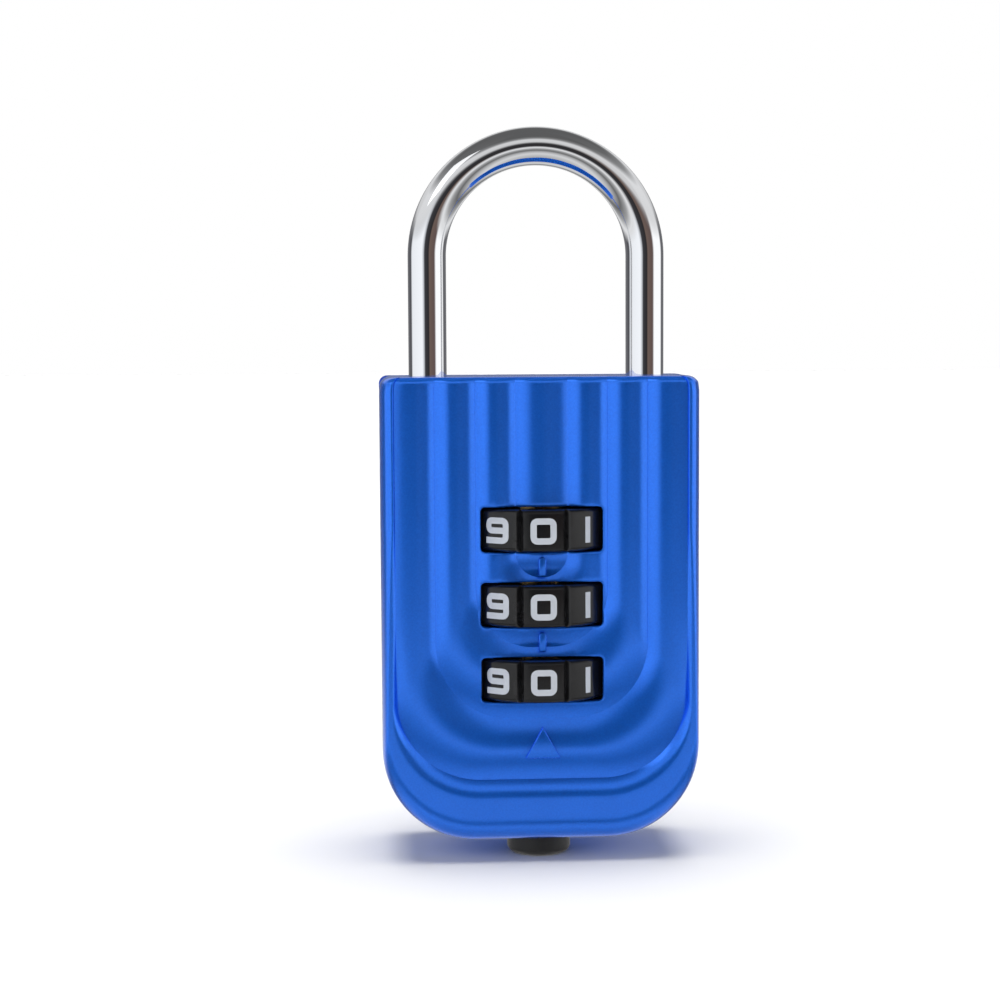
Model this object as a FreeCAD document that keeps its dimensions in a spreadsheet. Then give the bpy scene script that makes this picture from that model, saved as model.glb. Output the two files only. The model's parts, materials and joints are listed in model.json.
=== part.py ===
"""Three-dial resettable combination padlock, as a parametric assembly in millimetres.

+Z is up along the shackle, -Y is the front with the windows, and the shackle lies in the plane Y = 0.
The origin is under the middle of the body, level with the bottom of the push button.
"""
import FreeCAD, Part
import math
import os
import Sketcher

Vector = FreeCAD.Vector

SIZES = {
    # body, a front half and a back half that meet at the split plane
    "body_width": 34.0,
    "body_height": 49.7,
    "body_bottom": 2.2,
    "split_depth": 5.0,
    "bottom_corner": 10.0,
    "front_round": 2.6,
    "back_round": 1.5,
    "top_round": 0.9,
    "side_wall": 1.3,
    "front_wall": 1.7,
    "back_wall": 0.95,
    "rail_width": 0.7,
    "fit": 0.05,
    "rib_depth": 2.0,
    "rib_left": 6.0,
    "rib_right": 3.5,
    # creases between the flutes of the front, from the middle outwards
    "crease_depth": 0.8,
    "crease_reach": 1.9,
    "crease_bulge": 1.15,
    "crease1_half": 2.75,
    "crease1_bottom": 30.7,
    "crease1_corner": 2.6,
    "crease2_half": 7.0,
    "crease2_bottom": 23.25,
    "crease2_corner": 6.0,
    "crease3_half": 11.3,
    "crease3_bottom": 15.6,
    "crease3_corner": 8.0,
    "crease4_half": 15.5,
    "crease4_bottom": 9.05,
    "crease4_corner": 9.0,
    # marks that stand on the front
    "mark_height": 0.35,
    "bar_width": 0.8,
    "bar_gap": 0.7,
    "bar_top_gap": 0.5,
    "triangle_width": 3.75,
    "triangle_height": 3.35,
    "triangle_base": 11.45,
    # dials
    "dial_axis": 0.6,
    "dial_radius": 8.15,
    "dial_thickness": 4.4,
    "dial_proud": 1.85,
    "dial_back_gap": 0.25,
    "dial_pitch": 8.0,
    "dial_middle_z": 27.8,
    "dial_round": 0.45,
    "dial_bore": 4.6,
    "dial_spline_bore": 4.0,
    "dial_spline_length": 1.5,
    "notch_depth": 0.5,
    "notch_half_width": 0.62,
    "notch_overcut": 0.2,
    "window_width": 12.95,
    "window_gap": 0.2,
    "window_round": 0.5,
    "dial_gap": 0.3,
    # combination sleeves
    "sleeve_radius": 3.9,
    "sleeve_bore": 2.9,
    "sleeve_below": 2.4,
    "tooth_radius": 4.5,
    "tooth_width": 1.0,
    "tooth_length": 1.3,
    "tooth_drop": 0.1,
    "tooth_clearance": 0.15,
    "gate_thickness": 0.7,
    "gate_bore": 1.45,
    "gate_width": 1.3,
    "groove_radius": 3.3,
    "groove_height": 0.8,
    "groove_from_top": 0.75,
    # spindle and its collar
    "spindle_radius": 1.2,
    "spindle_end": 2.7,
    "spindle_above_collar": 0.9,
    "fin_reach": 2.6,
    "fin_width": 1.0,
    "fin_thickness": 0.7,
    "fin_gap": 0.1,
    "collar_radius": 4.4,
    "collar_rise": 0.1,
    "collar_thickness": 1.4,
    # button
    "button_radius": 3.45,
    "button_round": 0.7,
    "button_flange_radius": 4.5,
    "button_flange_thickness": 1.0,
    "button_boss_radius": 1.9,
    "button_boss_height": 1.75,
    "button_clearance": 0.1,
    # guide plates
    "plate_gap": 0.3,
    "lower_plate_thickness": 1.9,
    "upper_plate_thickness": 1.8,
    "clip_block_width": 14.4,
    "clip_block_depth": 3.0,
    "clip_block_height": 4.3,
    # shackle
    "rod_radius": 2.05,
    "leg_to_dial": 1.55,
    "arch_rise": 12.8,
    "shackle_lift": 9.0,
    "toe_gap": 0.6,
    "heel_spring_room": 11.2,
    "leg_clearance": 0.1,
    "latch_notch_depth": 0.85,
    "latch_notch_gap": 0.25,
    "leg_chamfer": 0.4,
    "ring_radius": 2.8,
    "ring_neck_radius": 1.6,
    "ring_thickness": 0.7,
    "ring_gap": 1.8,
    # springs and strips
    "clip_thickness": 0.4,
    "clip_height": 1.6,
    "clip_rise": 2.6,
    "clip_back": 5.4,
    "clip_knee": 2.6,
    "clip_slope": 0.5,
    "clip_turn_in": 15,
    "button_spring_radius": 2.35,
    "button_spring_wire": 0.45,
    "button_spring_turns": 5,
    "shackle_spring_radius": 1.3,
    "shackle_spring_wire": 0.35,
    "shackle_spring_turns": 12,
    "shackle_pin_radius": 0.9,
    "shackle_pin_length": 7.5,
    "reset_spring_radius": 0.85,
    "reset_spring_wire": 0.3,
    "reset_spring_turns": 6,
    "detent_thickness": 0.25,
    "detent_height": 2.4,
    "detent_clear": 0.55,
    "detent_bite": 0.18,
    "detent_fold": 0.25,
    "detent_flare": 0.6,
    "detent_step": 5,
    "detent_strip_width": 4.0,
    "detent_stud_radius": 0.6,
    "detent_stud_length": 0.8,
    "detent_stud_x": 11.0,
    # reset carriage
    "fork_thickness": 0.7,
    "fork_clearance": 0.1,
    "fork_rim": 3.6,
    "fork_front": 0.9,
    "fork_prong": 1.5,
    "carriage_inset": 0.15,
    "carriage_behind_leg": 2.35,
    "carriage_width": 3.2,
    "carriage_depth": 2.0,
    "reset_travel": 1.6,
    "reset_spring_room": 4.7,
    "foot_gap": 0.2,
    "foot_thickness": 0.8,
    "reset_pin_radius": 0.5,
    "spring_clearance": 0.15,
    # rivets
    "rivet_radius": 0.75,
    "rivet_head_radius": 1.3,
    "rivet_head_height": 0.6,
    "rivet_clearance": 0.03,
    "rivet_end": 2.0,
    "rivet_end_gap": 0.2,
    "post_radius": 1.5,
    "upper_rivet_x": 6.9,
    "upper_rivet_drop": 2.7,
    "lower_rivet_x": 10.8,
    "lower_rivet_z": 8.6,
    # how far joined shapes run into each other, how far cuts run past, and a pressed-in pin's gap
    "join": 0.5,
    "overcut": 1.0,
    "press_fit": 0.02,
}

DIALS = {"bottom": -1, "middle": 0, "top": 1}
DIGITS = 10
CREASES = (1, 2, 3, 4)

doc = FreeCAD.newDocument("padlock")
sheet = doc.addObject("Spreadsheet::Sheet", "sizes")
for row, (alias, number) in enumerate(SIZES.items(), start=1):
    sheet.set("A%d" % row, alias)
    sheet.set("B%d" % row, str(number))
    sheet.setAlias("B%d" % row, alias)
doc.recompute()


def cell(alias):
    """The number in the sheet under this name."""
    return float(getattr(sheet, alias))


def formula(text):
    """Put the sheet's name before every alias in an expression."""
    words = text.replace("(", "( ").replace(")", " )").split()
    return " ".join("sizes." + word if word in SIZES else word for word in words)


def value(text):
    """What an expression of aliases comes to, worked out in a spare cell of the sheet."""
    sheet.set("D1", "=" + text)
    sheet.recompute()
    number = float(sheet.get("D1"))
    sheet.clear("D1")
    return number


# heights and depths that follow from the driving sizes
BODY_TOP = "( body_bottom + body_height )"
FRONT = "( dial_axis + dial_radius - dial_proud )"
BACK = "( dial_radius - dial_axis + dial_back_gap + back_wall )"
LEG = "( dial_radius + leg_to_dial + rod_radius )"
ARCH = "( body_bottom + body_height + arch_rise )"
SLEEVE_LENGTH = "( dial_pitch - 2 * fit )"
LOWER_TOP = "( dial_middle_z - dial_pitch - sleeve_below - reset_travel - plate_gap )"
LOWER_BOTTOM = "( %s - lower_plate_thickness )" % LOWER_TOP
UPPER_BOTTOM = "( dial_middle_z + dial_pitch + %s - sleeve_below + plate_gap )" % SLEEVE_LENGTH
UPPER_TOP = "( %s + upper_plate_thickness )" % UPPER_BOTTOM
HEEL_END = "( %s + heel_spring_room )" % LOWER_TOP
TOE_END = "( %s + toe_gap )" % UPPER_TOP
CLIP_BOTTOM = "( %s + clip_rise )" % UPPER_TOP
COLLAR_BOTTOM = "( %s + collar_rise )" % CLIP_BOTTOM
SPINDLE_TOP = "( %s + collar_thickness + spindle_above_collar )" % COLLAR_BOTTOM
RING_BOTTOM = "( %s - shackle_lift - ring_thickness - fit )" % UPPER_BOTTOM
CARRIAGE_BOTTOM = "( %s + reset_spring_room )" % LOWER_TOP
FOOT_TOP = "( %s - foot_gap )" % HEEL_END
FLANGE_TOP = "( body_bottom + side_wall + fit + button_flange_thickness )"
WINDOW_HEIGHT = "( dial_thickness + 2 * window_gap )"
BAR_LENGTH = "( dial_pitch - %s - bar_gap - bar_top_gap )" % WINDOW_HEIGHT
GROOVE_BOTTOM = "( %s - sleeve_below - groove_from_top - groove_height )" % SLEEVE_LENGTH
GROOVE_TOP = "( %s + groove_height )" % GROOVE_BOTTOM
CARRIAGE_X = "( %s - carriage_inset )" % LEG
CARRIAGE_Y = "( rod_radius + carriage_behind_leg )"


def dial_z(name):
    return "( dial_middle_z + %d * dial_pitch )" % DIALS[name]


# ---------------------------------------------------------------- sketches and features

def new_body(label):
    body = doc.addObject("PartDesign::Body", label)
    body.Label = label
    return body


def place(thing, x="0", y="0", z="0"):
    """Bind a sub-part's position to the sheet."""
    for axis, text in (("x", x), ("y", y), ("z", z)):
        if text != "0":
            thing.setExpression("Placement.Base." + axis, formula(text))


def new_sketch(body, plane_role, offset="0"):
    """A sketch on one of the body's own planes, moved along that plane's normal."""
    sketch = body.newObject("Sketcher::SketchObject", body.Label + "_sketch")
    plane = next(item for item in body.Origin.OriginFeatures if item.Role == plane_role)
    sketch.AttachmentSupport = [(plane, "")]
    sketch.MapMode = "FlatFace"
    if offset != "0":
        sketch.setExpression("AttachmentOffset.Base.z", formula(offset))
    return sketch


def bind(sketch, constraint, text):
    index = sketch.addConstraint(constraint)
    sketch.setExpression("Constraints[%d]" % index, formula(text))


def pin(sketch, edge, point, corner):
    """Hold one point of an edge at an (x, y) pair of expressions from the sketch's origin."""
    now = sketch.getPoint(edge, point)
    bind(sketch, Sketcher.Constraint("DistanceX", -1, 1, edge, point, now.x), corner[0])
    bind(sketch, Sketcher.Constraint("DistanceY", -1, 1, edge, point, now.y), corner[1])


def polygon(sketch, corners):
    """A closed outline through (x, y) pairs of expressions."""
    first = sketch.GeometryCount
    count = len(corners)
    ring = [Vector(math.cos(2 * math.pi * i / count), math.sin(2 * math.pi * i / count), 0)
            for i in range(count + 1)]
    for i in range(count):
        sketch.addGeometry(Part.LineSegment(ring[i], ring[i + 1]))
    for i in range(count):
        following = first + (i + 1) % count
        sketch.addConstraint(Sketcher.Constraint("Coincident", first + i, 2, following, 1))
        pin(sketch, first + i, 1, corners[i])


def rectangle(sketch, left, right, low, high):
    polygon(sketch, [(left, low), (right, low), (right, high), (left, high)])


def route(sketch, stops, bends, closed=False):
    """Spans through (x, y) expressions: straight, or an arc where bends gives (radius, side).

    The side is 1 where the arc bulges to the left of its chord and -1 where it bulges to the right.
    """
    first = sketch.GeometryCount
    places = [Vector(value(x), value(y), 0) for x, y in stops]
    spans = len(stops) if closed else len(stops) - 1
    for i in range(spans):
        start = places[i]
        end = places[(i + 1) % len(stops)]
        if i not in bends:
            sketch.addGeometry(Part.LineSegment(start, end))
            continue
        radius = value(bends[i][0])
        chord = end - start
        rise = radius - math.sqrt(radius ** 2 - chord.Length ** 2 / 4)
        left = Vector(-chord.y, chord.x, 0).normalize()
        sketch.addGeometry(Part.Arc(start, (start + end) / 2 + left * rise * bends[i][1], end))
    for i in range(spans):
        if i in bends:
            bind(sketch, Sketcher.Constraint("Radius", first + i, value(bends[i][0])), bends[i][0])
        for end_of_span, stop in ((1, i), (2, (i + 1) % len(stops))):
            point = end_of_span
            if (sketch.getPoint(first + i, point) - places[stop]).Length > 1e-6:
                point = 3 - end_of_span
            pin(sketch, first + i, point, stops[stop])


def rounded_rectangle(sketch, left, right, low, high, radius):
    """A closed rectangle with four equal round corners."""
    stops = [(left + " + " + radius, low), (right + " - " + radius, low),
             (right, low + " + " + radius), (right, high + " - " + radius),
             (right + " - " + radius, high), (left + " + " + radius, high),
             (left, high + " - " + radius), (left, low + " + " + radius)]
    route(sketch, stops, {1: (radius, -1), 3: (radius, -1), 5: (radius, -1), 7: (radius, -1)}, closed=True)


def circle(sketch, x, y, radius):
    edge = sketch.addGeometry(Part.Circle(Vector(0, 0, 0), Vector(0, 0, 1), 1))
    pin(sketch, edge, 3, (x, y))
    bind(sketch, Sketcher.Constraint("Radius", edge, 1.0), radius)


def extrude(kind, sketch, length, backwards=False):
    """A Pad along the sketch's normal or a Pocket against it, the other way with backwards."""
    body = sketch.getParentGeoFeatureGroup()
    feature = body.newObject("PartDesign::" + kind, body.Label + "_" + kind.lower())
    feature.Profile = sketch
    feature.setExpression("Length", formula(length))
    feature.Reversed = backwards
    sketch.Visibility = False
    return feature


def turn(kind, sketch):
    """A Revolution or a Groove right round the sketch's vertical axis."""
    body = sketch.getParentGeoFeatureGroup()
    feature = body.newObject("PartDesign::" + kind, body.Label + "_" + kind.lower())
    feature.Profile = sketch
    feature.ReferenceAxis = (sketch, ["V_Axis"])
    feature.Angle = 360
    return feature


def around(feature, count):
    """Repeat a feature evenly about the body's Z axis."""
    body = feature.getParentGeoFeatureGroup()
    axis = next(item for item in body.Origin.OriginFeatures if item.Role == "Z_Axis")
    pattern = body.newObject("PartDesign::PolarPattern", body.Label + "_pattern")
    pattern.Originals = [feature]
    pattern.Axis = (axis, [""])
    pattern.Angle = 360
    pattern.Occurrences = count
    body.Tip = pattern
    return pattern


def round_edges(body, radius, test, kind="Fillet"):
    """Fillet or chamfer the edges of the body so far that pass the test."""
    doc.recompute()
    edges = ["Edge%d" % (i + 1) for i, edge in enumerate(body.Tip.Shape.Edges) if test(edge)]
    base = body.Tip
    feature = body.newObject("PartDesign::" + kind, body.Label + "_" + kind.lower())
    feature.Base = (base, edges)
    feature.setExpression("Radius" if kind == "Fillet" else "Size", formula(radius))
    doc.recompute()
    return feature


def lies_at(edge, axis, level):
    """Whether the whole edge lies in the plane where this coordinate is level."""
    low = getattr(edge.BoundBox, axis + "Min")
    high = getattr(edge.BoundBox, axis + "Max")
    return abs(low - level) < 0.01 and abs(high - level) < 0.01


# ---------------------------------------------------------------- body halves

def half_body(body, face_depth, room_depth, rim_round, front):
    """One half of the body: a hollow block from the split plane to its own face, with its corners rounded."""
    block = new_sketch(body, "XZ_Plane", "- split_depth")
    rectangle(block, "- body_width / 2", "body_width / 2", "body_bottom", BODY_TOP)
    length = "split_depth + " + FRONT if front else BACK + " - split_depth"
    extrude("Pad", block, length, backwards=not front)
    room = new_sketch(body, "XZ_Plane", "- split_depth")
    rectangle(room, "side_wall - body_width / 2", "body_width / 2 - side_wall",
              "body_bottom + side_wall", BODY_TOP + " - side_wall")
    extrude("Pocket", room, room_depth, backwards=front)

    side = cell("body_width") / 2
    low = cell("body_bottom")
    high = low + cell("body_height")
    wall = cell("side_wall")

    def inner_corner(edge):
        return lies_at(edge, "Z", low + wall) and abs(abs(edge.BoundBox.Center.x) - side + wall) < 0.01

    def outer_corner(edge):
        return lies_at(edge, "Z", low) and abs(abs(edge.BoundBox.Center.x) - side) < 0.01

    def face_rim(edge):
        return lies_at(edge, "Y", face_depth) and not lies_at(edge, "Z", high)

    def top_rim(edge):
        return lies_at(edge, "Z", high) and not lies_at(edge, "Y", cell("split_depth"))

    round_edges(body, "bottom_corner - side_wall", inner_corner)
    round_edges(body, "bottom_corner", outer_corner)
    round_edges(body, rim_round, face_rim)
    round_edges(body, "top_round", top_rim)


def crease(body, number):
    """One U-shaped crease of the front: a V with bulging flanks, swept down, round and up."""
    half = "crease%d_half" % number
    low = "crease%d_bottom" % number
    corner = "crease%d_corner" % number
    high = BODY_TOP + " + overcut"
    spine = new_sketch(body, "XZ_Plane", FRONT)
    stops = [("- " + half, high), ("- " + half, low + " + " + corner), (corner + " - " + half, low),
             (half + " - " + corner, low), (half, low + " + " + corner), (half, high)]
    route(spine, stops, {1: (corner, -1), 3: (corner, -1)})

    section = new_sketch(body, "XY_Plane", high)
    left = "- crease_reach - " + half
    right = "crease_reach - " + half
    flank = "crease_bulge * ( crease_reach ^ 2 + crease_depth ^ 2 ) / ( 2 * crease_depth )"
    face = "- " + FRONT
    stops = [(left, face + " - overcut"), (left, face), ("- " + half, "crease_depth - " + FRONT),
             (right, face), (right, face + " - overcut")]
    route(section, stops, {1: (flank, -1), 2: (flank, -1)}, closed=True)

    pipe = body.newObject("PartDesign::SubtractivePipe", body.Label + "_crease%d" % number)
    pipe.Profile = section
    pipe.Spine = (spine, ["Edge%d" % (i + 1) for i in range(5)])
    doc.recompute()
    return pipe


def rivet_places():
    """The four rivets' (x, z), as expressions."""
    heights = (("upper_rivet_x", BODY_TOP + " - upper_rivet_drop"), ("lower_rivet_x", "lower_rivet_z"))
    return [(sign + " " + x, z) for sign in ("-", "") for x, z in heights]


def front_shell():
    body = new_body("front_shell")
    half_body(body, -value(FRONT), "split_depth + " + FRONT + " - front_wall", "front_round", front=True)
    for number in CREASES:
        crease(body, number)

    windows = new_sketch(body, "XZ_Plane", FRONT + " + overcut")
    for name in DIALS:
        rounded_rectangle(windows, "- window_width / 2", "window_width / 2",
                          dial_z(name) + " - %s / 2" % WINDOW_HEIGHT,
                          dial_z(name) + " + %s / 2" % WINDOW_HEIGHT, "window_round")
    extrude("Pocket", windows, "front_wall + 2 * overcut")

    room = new_sketch(body, "XZ_Plane")
    for name in DIALS:
        rectangle(room, "0", "dial_radius + dial_gap",
                  dial_z(name) + " - %s / 2" % WINDOW_HEIGHT, dial_z(name) + " + %s / 2" % WINDOW_HEIGHT)
    room.setExpression("AttachmentOffset.Base.z", formula("dial_axis"))
    turn("Groove", room)

    marks = new_sketch(body, "XZ_Plane", FRONT + " - front_wall + join")
    for name in ("bottom", "middle"):
        low = dial_z(name) + " + %s / 2 + bar_gap" % WINDOW_HEIGHT
        rectangle(marks, "- bar_width / 2", "bar_width / 2", low, low + " + " + BAR_LENGTH)
    polygon(marks, [("- triangle_width / 2", "triangle_base"), ("triangle_width / 2", "triangle_base"),
                    ("0", "triangle_base + triangle_height")])
    extrude("Pad", marks, "front_wall - join + mark_height")

    button_hole = new_sketch(body, "XY_Plane", "body_bottom - overcut")
    circle(button_hole, "0", "- dial_axis", "button_radius + button_clearance")
    extrude("Pocket", button_hole, "side_wall + 2 * overcut", backwards=True)

    posts = new_sketch(body, "XZ_Plane", FRONT + " - front_wall")
    for x, z in rivet_places():
        circle(posts, x, z, "post_radius")
    extrude("Pad", posts, FRONT + " - front_wall + split_depth", backwards=True)
    holes = new_sketch(body, "XZ_Plane", "- split_depth")
    for x, z in rivet_places():
        circle(holes, x, z, "rivet_radius + rivet_clearance")
    extrude("Pocket", holes, "split_depth + rivet_end + rivet_end_gap", backwards=True)

    rails = new_sketch(body, "XZ_Plane", "- split_depth")
    inside = "body_width / 2 - side_wall"
    for bottom, top in ((LOWER_BOTTOM, LOWER_TOP), (UPPER_BOTTOM, UPPER_TOP)):
        for low, high in ((bottom + " - fit - rail_width", bottom + " - fit"),
                          (top + " + fit", top + " + fit + rail_width")):
            rectangle(rails, inside + " - rail_width", inside, low, high)
            rectangle(rails, "- ( %s )" % inside, "rail_width - ( %s )" % inside, low, high)
    extrude("Pad", rails, FRONT + " - front_wall + split_depth")

    leg_holes = new_sketch(body, "XY_Plane", BODY_TOP + " + overcut")
    for sign in ("-", ""):
        circle(leg_holes, sign + " " + LEG, "0", "rod_radius + leg_clearance")
    extrude("Pocket", leg_holes, "%s + overcut - %s" % (BODY_TOP, HEEL_END))
    ring_room = new_sketch(body, "XY_Plane", UPPER_BOTTOM)
    circle(ring_room, "- " + LEG, "0", "ring_radius + leg_clearance")
    extrude("Pocket", ring_room, "%s - %s + leg_clearance" % (UPPER_BOTTOM, RING_BOTTOM))
    return body


def back_shell():
    body = new_body("back_shell")
    half_body(body, value(BACK), BACK + " - split_depth - back_wall", "back_round", front=False)
    inner = "back_wall - " + BACK

    ribs = new_sketch(body, "XZ_Plane", inner)
    half_gap = "( dial_pitch - dial_thickness ) / 2 - window_gap"
    for step in (-1.5, -0.5, 0.5, 1.5):
        middle = "dial_middle_z + %s * dial_pitch" % step
        low = "%s - ( %s )" % (middle, half_gap) if step > -1 else LOWER_TOP + " + 2 * fit"
        rectangle(ribs, "- rib_left", "rib_right", low, "%s + %s" % (middle, half_gap))
    extrude("Pad", ribs, "rib_depth")

    bosses = new_sketch(body, "XZ_Plane", inner)
    for x, z in rivet_places():
        circle(bosses, x, z, "post_radius")
    extrude("Pad", bosses, BACK + " - back_wall - split_depth")
    studs = new_sketch(body, "XZ_Plane", inner)
    for z in detent_stud_heights():
        circle(studs, "detent_stud_x", z, "detent_stud_radius")
    extrude("Pad", studs, "detent_stud_length")

    holes = new_sketch(body, "XZ_Plane", "- " + BACK)
    for x, z in rivet_places():
        circle(holes, x, z, "rivet_radius + rivet_clearance")
    extrude("Pocket", holes, BACK + " - split_depth", backwards=True)
    heads = new_sketch(body, "XZ_Plane", "- " + BACK)
    for x, z in rivet_places():
        circle(heads, x, z, "rivet_head_radius + rivet_clearance")
    extrude("Pocket", heads, "rivet_head_height + rivet_clearance", backwards=True)
    return body


def case_rivets():
    """Four identical rivets, as separate solids in one node."""
    shanks = []
    for x, z in rivet_places():
        shank = doc.addObject("Part::Cylinder", "rivet_shank")
        shank.setExpression("Radius", formula("rivet_radius"))
        shank.setExpression("Height", formula(BACK + " + rivet_end"))
        head = doc.addObject("Part::Cylinder", "rivet_head")
        head.setExpression("Radius", formula("rivet_head_radius"))
        head.setExpression("Height", formula("rivet_head_height"))
        for piece in (shank, head):
            piece.Placement.Rotation = FreeCAD.Rotation(Vector(1, 0, 0), 90)
            place(piece, x, BACK, z)
        rivet = doc.addObject("Part::Fuse", "rivet")
        rivet.Base = shank
        rivet.Tool = head
        shanks.append(rivet)
    group = doc.addObject("Part::Compound", "case_rivets")
    group.Label = "case_rivets"
    group.Links = shanks
    return group


# ---------------------------------------------------------------- dials and sleeves

def dial(name):
    """One number dial with ten rim notches and, inside, ten slots for the sleeve's teeth."""
    body = new_body("dial_" + name)
    place(body, "0", "- dial_axis", dial_z(name))
    half = "dial_thickness / 2"
    profile = new_sketch(body, "XZ_Plane")
    polygon(profile, [("dial_bore", "- " + half), ("dial_radius", "- " + half),
                      ("dial_radius", half), ("dial_spline_bore", half),
                      ("dial_spline_bore", half + " - dial_spline_length"),
                      ("dial_bore", half + " - dial_spline_length")])
    turn("Revolution", profile)
    rim = cell("dial_radius")
    round_edges(body, "dial_round", lambda edge: edge.BoundBox.XLength > 1.9 * rim)

    notch = new_sketch(body, "XY_Plane")
    between_digits = FreeCAD.Rotation(Vector(0, 0, 1), 180 / DIGITS)
    notch.AttachmentOffset = FreeCAD.Placement(Vector(0, 0, 0), between_digits)
    notch.setExpression("AttachmentOffset.Base.z", formula("- dial_thickness"))
    outside = "dial_radius + notch_overcut"
    polygon(notch, [("- notch_half_width", outside), ("notch_half_width", outside),
                    ("0", "dial_radius - notch_depth")])
    around(extrude("Pocket", notch, "2 * dial_thickness", backwards=True), DIGITS)

    slot = new_sketch(body, "XY_Plane", "dial_thickness")
    rectangle(slot, "- tooth_width / 2 - tooth_clearance", "tooth_width / 2 + tooth_clearance",
              "dial_spline_bore - join", "dial_bore")
    around(extrude("Pocket", slot, "dial_thickness / 2 + dial_spline_length"), DIGITS)
    return body


def sleeve(name):
    """One combination sleeve: driving teeth, a fork groove and a gate with a single notch."""
    body = new_body("sleeve_" + name)
    place(body, "0", "- dial_axis", dial_z(name))
    top = SLEEVE_LENGTH + " - sleeve_below"
    profile = new_sketch(body, "XZ_Plane")
    polygon(profile, [("sleeve_bore", "- sleeve_below"), ("sleeve_radius", "- sleeve_below"),
                      ("sleeve_radius", GROOVE_BOTTOM), ("groove_radius", GROOVE_BOTTOM),
                      ("groove_radius", GROOVE_TOP), ("sleeve_radius", GROOVE_TOP),
                      ("sleeve_radius", top), ("sleeve_bore", top),
                      ("sleeve_bore", "gate_thickness"), ("gate_bore", "gate_thickness"),
                      ("gate_bore", "0"), ("sleeve_bore", "0")])
    turn("Revolution", profile)

    gate = new_sketch(body, "XY_Plane", "- join")
    rectangle(gate, "- gate_width / 2", "gate_width / 2", "0", "sleeve_bore")
    extrude("Pocket", gate, "gate_thickness + 2 * join", backwards=True)

    tooth = new_sketch(body, "XY_Plane", "dial_thickness / 2 - tooth_length - tooth_drop")
    rectangle(tooth, "- tooth_width / 2", "tooth_width / 2", "sleeve_radius - join", "tooth_radius")
    around(extrude("Pad", tooth, "tooth_length"), DIGITS)
    return body


# ---------------------------------------------------------------- spindle, collar and button

def spindle():
    """The rod with a fin for each sleeve's gate."""
    body = new_body("spindle")
    place(body, "0", "- dial_axis", "0")
    rod = new_sketch(body, "XY_Plane", "spindle_end")
    circle(rod, "0", "0", "spindle_radius")
    extrude("Pad", rod, SPINDLE_TOP + " - spindle_end")
    fins = new_sketch(body, "YZ_Plane", "- fin_width / 2")
    for name in DIALS:
        rectangle(fins, "spindle_radius - join", "fin_reach",
                  dial_z(name) + " - fin_gap - fin_thickness", dial_z(name) + " - fin_gap")
    extrude("Pad", fins, "fin_width")
    return body


def blocking_collar():
    """The disc pressed on the top of the spindle that keeps the latch arms apart."""
    body = new_body("blocking_collar")
    place(body, "0", "- dial_axis", COLLAR_BOTTOM)
    disc = new_sketch(body, "XY_Plane")
    circle(disc, "0", "0", "collar_radius")
    circle(disc, "0", "0", "spindle_radius")
    extrude("Pad", disc, "collar_thickness")
    return body


def button():
    """The push button, with a flange that keeps it in and a socket for the spindle."""
    body = new_body("button")
    place(body, "0", "- dial_axis", "0")
    flange = "( body_bottom + side_wall + fit )"
    top = flange + " + button_flange_thickness"
    profile = new_sketch(body, "XZ_Plane")
    polygon(profile, [("0", "0"), ("button_radius", "0"), ("button_radius", flange),
                      ("button_flange_radius", flange), ("button_flange_radius", top),
                      ("button_boss_radius", top), ("button_boss_radius", top + " + button_boss_height"),
                      ("spindle_radius + press_fit", top + " + button_boss_height"),
                      ("spindle_radius + press_fit", "spindle_end - press_fit"),
                      ("0", "spindle_end - press_fit")])
    turn("Revolution", profile)
    round_edges(body, "button_round", lambda edge: lies_at(edge, "Z", 0) and edge.Length > 1)
    return body


# ---------------------------------------------------------------- guide plates

def plate_blank(body, bottom, top):
    """A plate that fills the body from wall to wall, with the spindle's hole."""
    sketch = new_sketch(body, "XY_Plane", bottom)
    side = "body_width / 2 - side_wall - 2 * fit"
    rectangle(sketch, "- ( %s )" % side, side,
              "front_wall + 2 * fit - " + FRONT, BACK + " - back_wall - 2 * fit")
    extrude("Pad", sketch, "%s - %s" % (top, bottom))
    holes = new_sketch(body, "XY_Plane", top + " + overcut")
    circle(holes, "0", "- dial_axis", "spindle_radius + fit")
    return holes


def lower_guide_plate():
    body = new_body("lower_guide_plate")
    holes = plate_blank(body, LOWER_BOTTOM, LOWER_TOP)
    circle(holes, "- " + LEG, "0", "shackle_pin_radius + press_fit")
    circle(holes, "- " + CARRIAGE_X, CARRIAGE_Y, "reset_pin_radius + press_fit")
    extrude("Pocket", holes, "2 * overcut + lower_plate_thickness")
    return body


def upper_guide_plate():
    """The upper plate also carries the slotted block that holds the latch spring's back."""
    body = new_body("upper_guide_plate")
    holes = plate_blank(body, UPPER_BOTTOM, UPPER_TOP)
    for sign in ("-", ""):
        circle(holes, sign + " " + LEG, "0", "rod_radius + fit")
    circle(holes, "- " + CARRIAGE_X, CARRIAGE_Y, "reset_pin_radius + press_fit")
    extrude("Pocket", holes, "2 * overcut + upper_plate_thickness")

    back = BACK + " - back_wall - 2 * fit"
    block = new_sketch(body, "XY_Plane", UPPER_TOP)
    rectangle(block, "- clip_block_width / 2", "clip_block_width / 2", back + " - clip_block_depth", back)
    extrude("Pad", block, "clip_block_height")
    slot = new_sketch(body, "XY_Plane", CLIP_BOTTOM + " - fit")
    rectangle(slot, "- clip_block_width", "clip_block_width",
              "clip_back - clip_thickness / 2 - fit", "clip_back + clip_thickness / 2 + fit")
    extrude("Pocket", slot, "clip_block_height", backwards=True)
    return body


# ---------------------------------------------------------------- shackle

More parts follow.
